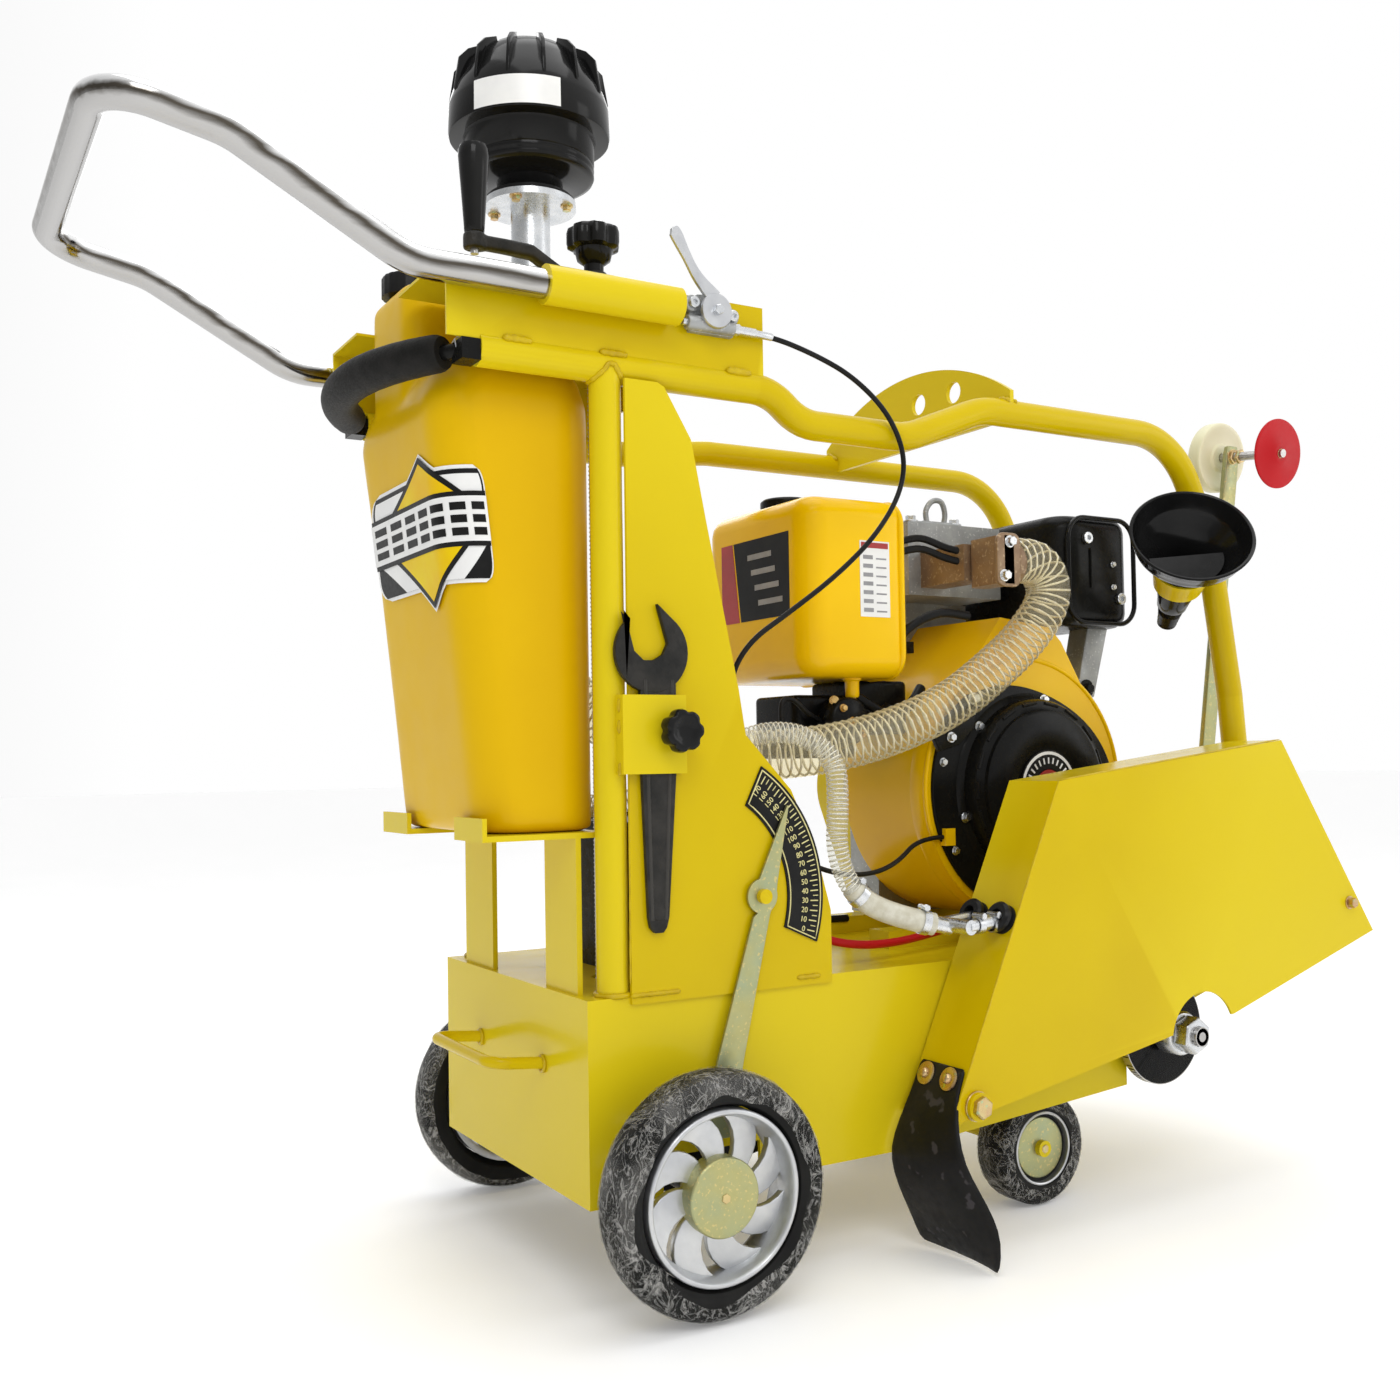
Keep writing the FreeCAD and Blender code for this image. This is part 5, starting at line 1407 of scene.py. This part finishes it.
def muffler():
    shell = soft_case(772, 920, -98, 138, 737, 891, 40, 20, 8)
    ribs = [tube([(784, -99.5, 770), (784, -99.5, 860)], 1.6, 8),
            tube([(830, -99.6, 790), (830, -99.6, 845)], 1.4, 8)]
    piece("muffler_shell", "chassis", "black_metal", ("enamel", joined(shell, *ribs)), replaces=["muffler"],
          sharp=60)
    rim = [Vector((x, -97, z)) for x, z in round_rect(790, 916, 741, 887, 30, 8)]
    piece("muffler_seam", "chassis", "black_metal", ("gloss", tube(rim, 3.4, 10, closed=True)), sharp=60)
    heads = [socket_screw((x, -99, z), RIGHTWARD, 8, 6) for x, z in ((822, 858), (884, 776))]
    heads += [bolt((x, -99, z), RIGHTWARD, 6, 3, 4) for x, z in ((872, 824), (872, 792))]
    piece("muffler_screws", "chassis", "zinc", ("zinc", joined(*heads)))
    stay = side_slab([(836, 634), (872, 640), (902, 740), (862, 740)], -60, -24)
    piece("muffler_stay", "chassis", "engine_alloy", ("casting", stay), bevel=2.0)
    piece("muffler_stay_bolt", "chassis", "black_metal",
          ("enamel", bolt((856, -60, 652), RIGHTWARD, 13, 8, 13)))


def intake():
    spots = [(634, -148, 834), (624, -148, 790)]
    piece("intake_bolts", "chassis", "zinc", ("zinc", joined(*[bolt(p, RIGHTWARD, 11, 7, 8) for p in spots])))
    plate = [(x, -148, z) for x, z in round_rect(614, 654, 776, 846, 12, 5)]
    collar = aimed(lathe([(26, 0), (31, 0), (31, 12), (26, 12)], 40, True), (652, -118, 811), (0.98, 0, 0.18))
    piece("intake_plate", "chassis", "engine_paint", ("tan", joined(slab(plate, (0, 6, 0)), collar)),
          bevel=2.0)


# ---------------------------------------------------------------- blade guard and nose

def guard_details():
    """Bolts, grommets, seams and water pipes on the blade guard."""
    piece("guard_hinge_bolt", "blade_guard", "zinc",
          ("gold", joined(aimed(washer(17, 3), (GUARD_PIVOT.x, -287, GUARD_PIVOT.z), RIGHTWARD),
                          bolt((GUARD_PIVOT.x, -290, GUARD_PIVOT.z), RIGHTWARD, 22, 12))))
    piece("guard_nose_bolt", "blade_guard", "zinc", ("gold", bolt((1108, -287, 352), RIGHTWARD, 12, 8, 9)))
    lean = Vector((574 - 401, 0, 529 - 152)).normalized()
    rearward = Vector((-lean.z, 0, lean.x))
    pipes_y = (-268, -222)
    rings = []
    profile = [(8.2, -6), (14, -6), (17.5, -4), (17.5, -1), (13, 1), (13, 3), (17.5, 4), (18, 9), (15, 12),
               (8.2, 12)]
    for y in pipes_y:
        spot = Vector((500, y, 371)) + rearward * 2
        rings.append(aimed(lathe(profile, 40, True), spot, rearward))
    piece("guard_grommets", "blade_guard", "rubber", ("black", joined(*rings)))
    seams = [bead([(401, -286, 152), (574, -286, 529)], 1.2, 30),
             bead([(577, -286, 530), (973, -286, 575)], 1.2, 40)]
    piece("guard_seams", "blade_guard", "frame_paint", ("weld", joined(*seams)))
    end = Vector(WATER_ROUTE[-1])
    aim = (end - Vector(WATER_ROUTE[-2])).normalized()
    inlet = tube([end - aim * 4, end + aim * 22], 8.5, 24)
    cross = tube([(446, -274, 366), (446, -214, 366)], 8.5, 24)
    spigots = [tube([(446, y, 366), (512, y, 371.6)], 7.5, 24) for y in pipes_y]
    piece("guard_pipes", "blade_guard", "zinc", ("zinc", joined(inlet, cross, *spigots)),
          replaces=["guard_water_pipes"])
    clamps = []
    for x in (462, 484):
        band = lathe([(8.4, -4), (9.6, -4), (9.6, 4), (8.4, 4)], 28, True)
        clamps.append(aimed(band, (x, -268, 367), FORWARD))
        clamps.append(tube([(x, -275, 378), (x, -260, 378)], 3.2, 10))
        clamps.append(bolt((x, -275, 378), RIGHTWARD, 7, 4))
    piece("guard_pipe_clamps", "blade_guard", "zinc", ("zinc", joined(*clamps)))


def flap():
    """Rubber splash flap, curling out to a ragged hem; sections are (x, z, inner y, outer y, curl)."""
    top_z = 211
    sections = [(428, 211, -207, -283, 0), (420, 193, -207, -283, 0), (411, 174, -207, -284, 3),
                (393, 145, -207, -298, 10), (378, 116, -207, -312, 22), (380, 88, -209, -322, 32),
                (390, 60, -212, -330, 34), (402, 34, -215, -336, 26)]
    columns = 14
    rows = []
    for x, z, y_in, y_out, curl in sections:
        row = []
        for k in range(columns + 1):
            t = k / columns
            wave = 3.0 * math.sin(2.4 * t + z * 0.02) * (1 - z / top_z) + curl * t ** 2
            row.append(Vector((x + wave, y_in + (y_out - y_in) * t, z)))
        rows.append(row)
    hem = []
    for k in range(columns + 1):
        t = k / columns
        z = 7 * (1 - t) ** 3 + 1.4 + noise.noise(Vector((k * 0.9, 4, 2)))
        hem.append(Vector((412 + 44 * t * (1 - t) + 8 * t, -218 - 121 * t, z)))
    rows.append(hem)
    thick = Vector((-5, 0, 0.6))
    front = [p for row in rows for p in row]
    back = [p + thick for p in front]
    verts = front + back
    total = len(front)
    wide = columns + 1
    faces = []
    for j in range(len(rows) - 1):
        for k in range(columns):
            a = j * wide + k
            faces.append((a, a + 1, a + wide + 1, a + wide))
            faces.append((total + a + wide, total + a + wide + 1, total + a + 1, total + a))
    border = list(range(columns + 1))
    border += [j * wide + columns for j in range(1, len(rows))]
    border += [(len(rows) - 1) * wide + k for k in range(columns - 1, -1, -1)]
    border += [j * wide for j in range(len(rows) - 2, 0, -1)]
    for a, b in zip(border, border[1:] + border[:1]):
        faces.append((b, a, total + a, total + b))
    piece("mud_flap_sheet", "blade_guard", "rubber", ("rubber", (verts, faces)), replaces=["mud_flap"],
          subdivide=1, sharp=50)
    rearward = Vector((-0.909, 0, 0.417))
    plate = lathe([(0, 0), (13.5, 0), (13.5, 1.2), (12, 2.2), (7, 2.6), (0, 2.6)], 36)
    dome = lathe([(0, 0), (6.5, 0), (6.2, 2.5), (4, 4.8), (0, 5.6)], 28)
    heads = []
    for y in (-225, -264):
        spot = Vector((421, y, 196)) + rearward * 5
        heads.append(aimed(plate, spot, rearward))
        heads.append(aimed(dome, spot + rearward * 2.6, rearward))
    piece("mud_flap_bolts", "blade_guard", "zinc", ("gold", joined(*heads)))


def arbor():
    """The blade arbor's right end: collar, nut, stud and inner flange."""
    x, z = ARBOR.x, ARBOR.z
    inner_y = -228
    collar = lathe([(12.5, 0), (26, 0), (28, 2), (28, 24), (26, 28), (20, 28), (12.5, 28)], 48, True)
    corner = 41 / math.sqrt(3)
    rows = ((0.93 * corner, 28), (corner, 30), (corner, 47.5), (0.90 * corner, 50), (13.2, 50))
    hexed = loft([ring_of(radius, 6, height) for radius, height in rows], capped=False)
    piece("arbor_collar", "arbor_nut", "zinc", ("zinc", aimed(collar, (x, inner_y, z), RIGHTWARD)), bevel=0.8)
    piece("arbor_nut_hexagon", "arbor_nut", "zinc", ("zinc", aimed(hexed, (x, inner_y, z), RIGHTWARD, 0.4)),
          replaces=["arbor_nut"], bevel=0.8)
    stud = lathe([(0, 0), (12.0, 0), (12.0, 54), (11, 56), (6, 56), (5, 50), (0, 50)], 36)
    turns = helix([(x, -252, z), (x, -282, z)], 12.0, 2.5, 16)
    piece("arbor_stud", "blade_shaft", "steel",
          ("enamel", joined(aimed(stud, (x, inner_y, z), RIGHTWARD), tube(turns, 0.7, 5))))
    disc = lathe([(12.6, 0), (69, 0), (70, 1), (70, 11), (69, 12), (12.6, 12)], 72, True)
    piece("arbor_flange", "blade_shaft", "black_metal", ("enamel", aimed(disc, (x, -210, z), RIGHTWARD)))


def guide():
    """The front guide: its leaning bar, the rod across its tip, and the roller and disc on the rod."""
    x, foot_y = GUIDE_PIVOT.x, GUIDE_PIVOT.y
    top_y = foot_y + GUIDE_LEAN * (1000 - GUIDE_PIVOT.z)
    tip = Vector((x, foot_y + GUIDE_LEAN * (GUIDE_TOP - GUIDE_PIVOT.z), GUIDE_TOP))

    def along(reach):
        return tip + SPINDLE_AXIS * reach

    rings = []
    for y, level, half in ((foot_y, GUIDE_PIVOT.z - 8, 9), (foot_y, GUIDE_PIVOT.z + 4, 13), (top_y, 988, 13),
                           (top_y, 1000, 9)):
        rings.append([(x - half, y - 4, level), (x + half, y - 4, level), (x + half, y + 4, level),
                      (x - half, y + 4, level)])
    hub = aimed(lathe([(6.05, 0), (13, 0), (13, 18), (6.05, 18)], 32, True), (x, -51, GUIDE_PIVOT.z),
                RIGHTWARD)
    thread = tube(helix([along(8), along(70)], 5.8, 2.0, 14), 0.6, 5)
    piece("guide_arm_bar", "guide_arm", "zinc", ("olive", joined(loft(rings), hub)), replaces=["guide_arm"],
          bevel=1.2)
    rod = tube([along(-42), along(90)], 5.8, 24)
    piece("guide_rod", "guide_arm", "steel", ("steel", joined(rod, thread)))
    nuts = [bolt(along(reach), SPINDLE_AXIS, 18, 5) for reach in (-42, 16, 68)]
    nuts.append(bolt(along(4), SPINDLE_AXIS, 18, 5, washer_r=11))
    nuts.append(bolt(along(82), SPINDLE_AXIS, 14, 4))
    piece("guide_nuts", "guide_arm", "zinc", ("gold", joined(*nuts)))
    pivot = [bolt((x, -76, GUIDE_PIVOT.z), RIGHTWARD, 16, 4), bolt((x, -44, GUIDE_PIVOT.z), LEFTWARD, 16, 4)]
    piece("guide_pivot_nuts", "chassis", "zinc", ("gold", joined(*pivot)))
    roller = lathe([(6.05, 1), (18, 0), (21, 4), (38, 5), (43, 2), (49, 2.5), (50, 5), (50, 19), (48.5, 22),
                    (43, 22), (38, 19), (21, 19), (18, 22), (6.05, 22)], 72, True)
    piece("guide_roller", "guide_wheels", "white_nylon", ("nylon", aimed(roller, along(-36), SPINDLE_AXIS)),
          bevel=0.8)
    disc = lathe([(6.05, 0), (13, 0), (18, 2), (44, 4.6), (48, 5.4), (48, 7.6), (44, 8.4), (18, 9.5),
                  (14, 12), (6.05, 12)], 72, True)
    piece("guide_disc", "guide_wheels", "white_nylon", ("red", aimed(disc, along(74), SPINDLE_AXIS)),
          replaces=["guide_wheels"], bevel=0.5)


def funnel():
    """The ribbed black funnel, with the rim of its strainer inside."""
    wall = [(10, -176), (13, -176), (13.4, -173), (12.4, -170), (14.2, -166), (13.2, -163), (15, -159),
            (14, -156), (16, -152), (15, -149), (17, -146), (16, -143), (18, -140), (20, -137), (22, -122),
            (30, -88),
            (35, -62), (37, -58), (56, -38), (68, -25), (71, -19), (76, -4), (78, -2.4), (79, 0), (77, 1.6),
            (74.5, 0.8), (73, -3), (68, -21), (64, -26), (53, -38), (33, -60), (17, -136), (10, -140)]
    shape = aimed(lathe(wall, 72, True), FUNNEL_MOUTH, FUNNEL_AXIS)
    crescent = ring_of(48, 40, -42)[:21]
    strainer = aimed(slab(crescent, (0, 0, 3)), FUNNEL_MOUTH, FUNNEL_AXIS, 2.6)
    piece("funnel_body", "funnel", "black_plastic", ("gloss", shape), ("gloss", strainer),
          replaces=["funnel"], sharp=50)


# ---------------------------------------------------------------- frame details

def frame_welds():
    """Weld beads round the posts and along the brackets and plates."""
    beads = []
    for side in (-1, 1):
        y = side * TUBE_Y
        post = Vector((POST_X, y, 0))
        beads.append(bead(arc(post + UP * (DECK_TOP + 1.5), TUBE_R + 1, 0, 360, FORWARD, LEFTWARD, 20), 3.2))
        saddle = []
        for i in range(33):
            turn = 2 * math.pi * i / 32
            dx, dy = (TUBE_R + 1) * math.cos(turn), (TUBE_R + 0.5) * math.sin(turn)
            drop = math.sqrt(max(0.0, TUBE_R ** 2 - min(abs(dy), TUBE_R) ** 2))
            saddle.append(post + Vector((dx, dy, RAIL_Z - drop)))
        beads.append(bead(saddle, 3.0))
        front = Vector((1033, y, DECK_TOP + 1.5))
        beads.append(bead(arc(front, TUBE_R + 1, 0, 360, FORWARD, LEFTWARD, 20), 3.2))
        for x in (-66, 42, 196):
            beads.append(bead([(x - 16, side * 197, 986), (x + 16, side * 197, 986)], 4.0))
        for x in (594, 606):
            beads.append(bead([(x, y - side * 17, 996), (x, y, 1006), (x, y + side * 14, 1000)], 3.6))
    for z in (552, 596, 618):
        beads.append(bead([(37, -208, z - 7), (37, -208, z + 7)], 2.8))
    for x in (64, 90, 270):
        beads.append(bead([(x - 16, -204, DECK_TOP + 1), (x + 16, -204, DECK_TOP + 1)], 2.8))
    beads.append(bead([(48, -203, 330), (50, -203, 540)], 1.1, 24))
    for y in (-89, 89):
        beads.append(bead(arc((-1.5, y, 236), 8, 0, 360, LEFTWARD, UP, 14), 2.4))
    for y in (-205, 205):
        beads.append(bead([(-40, y, 1052), (20, y, 1054), (104, y, 1052)], 2.0, 14))
    piece("weld_beads", "chassis", "frame_paint", ("weld", joined(*beads)), sharp=70)


def battery_leads():
    """Two insulated leads from the battery posts to the engine."""
    routes = {"red": [(150, -40, 508), (152, -80, 530), (196, -116, 480), (262, -134, 410), (326, -146, 350),
                      (380, -150, 338), (440, -142, 336), (500, -124, 338), (560, -112, 344),
                      (600, -100, 352)],
              "black": [(150, 75, 508), (176, 94, 522), (230, 112, 470), (300, 118, 390), (380, 112, 345),
                        (470, 96, 338), (540, 88, 338)]}
    for finish, points in routes.items():
        lead = route_curve("battery_lead_" + finish, points)
        lead.data.bevel_depth = 5.0 * MM
        lead.data.bevel_resolution = 5
        lead.data.materials.append(MATERIALS[finish])
        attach(lead, "chassis")
        line = route_line(points)


def battery_details():
    lid = soft_case(113, 287, -72, 107, 470, 491, 8, 3)
    grips = [box(140 + 24 * k, 150 + 24 * k, -73, -70, 330, 466) for k in range(6)]
    piece("battery_lid", "chassis", "black_plastic", ("black", joined(lid, *grips)), bevel=1.2)
    clamps = [joined(aimed(lathe([(9, 0), (12, 0), (12, 12), (9, 12)], 28, True), (150, y, 492), UP),
                     bolt((162, y, 498), FORWARD, 8, 6)) for y in (-40, 75)]
    piece("battery_clamps", "chassis", "zinc", ("zinc", joined(*clamps)))


def main():
    make_camera()
    make_studio()
    cords()
    finish_cad_nodes()
    for side, sign in (("right", -1), ("left", 1)):
        rear_wheel(side, sign)
        front_wheel(side, sign)
    tank()
    tank_badge()
    precleaner()
    crank()
    throttle()
    padded_bar()
    depth_gauge()
    wrench()
    fuel_tank()
    engine_top()
    fan_and_recoil()
    muffler()
    intake()
    guard_details()
    flap()
    arbor()
    guide()
    funnel()
    frame_welds()
    battery_details()
    battery_leads()


MATERIALS = make_materials()
main()
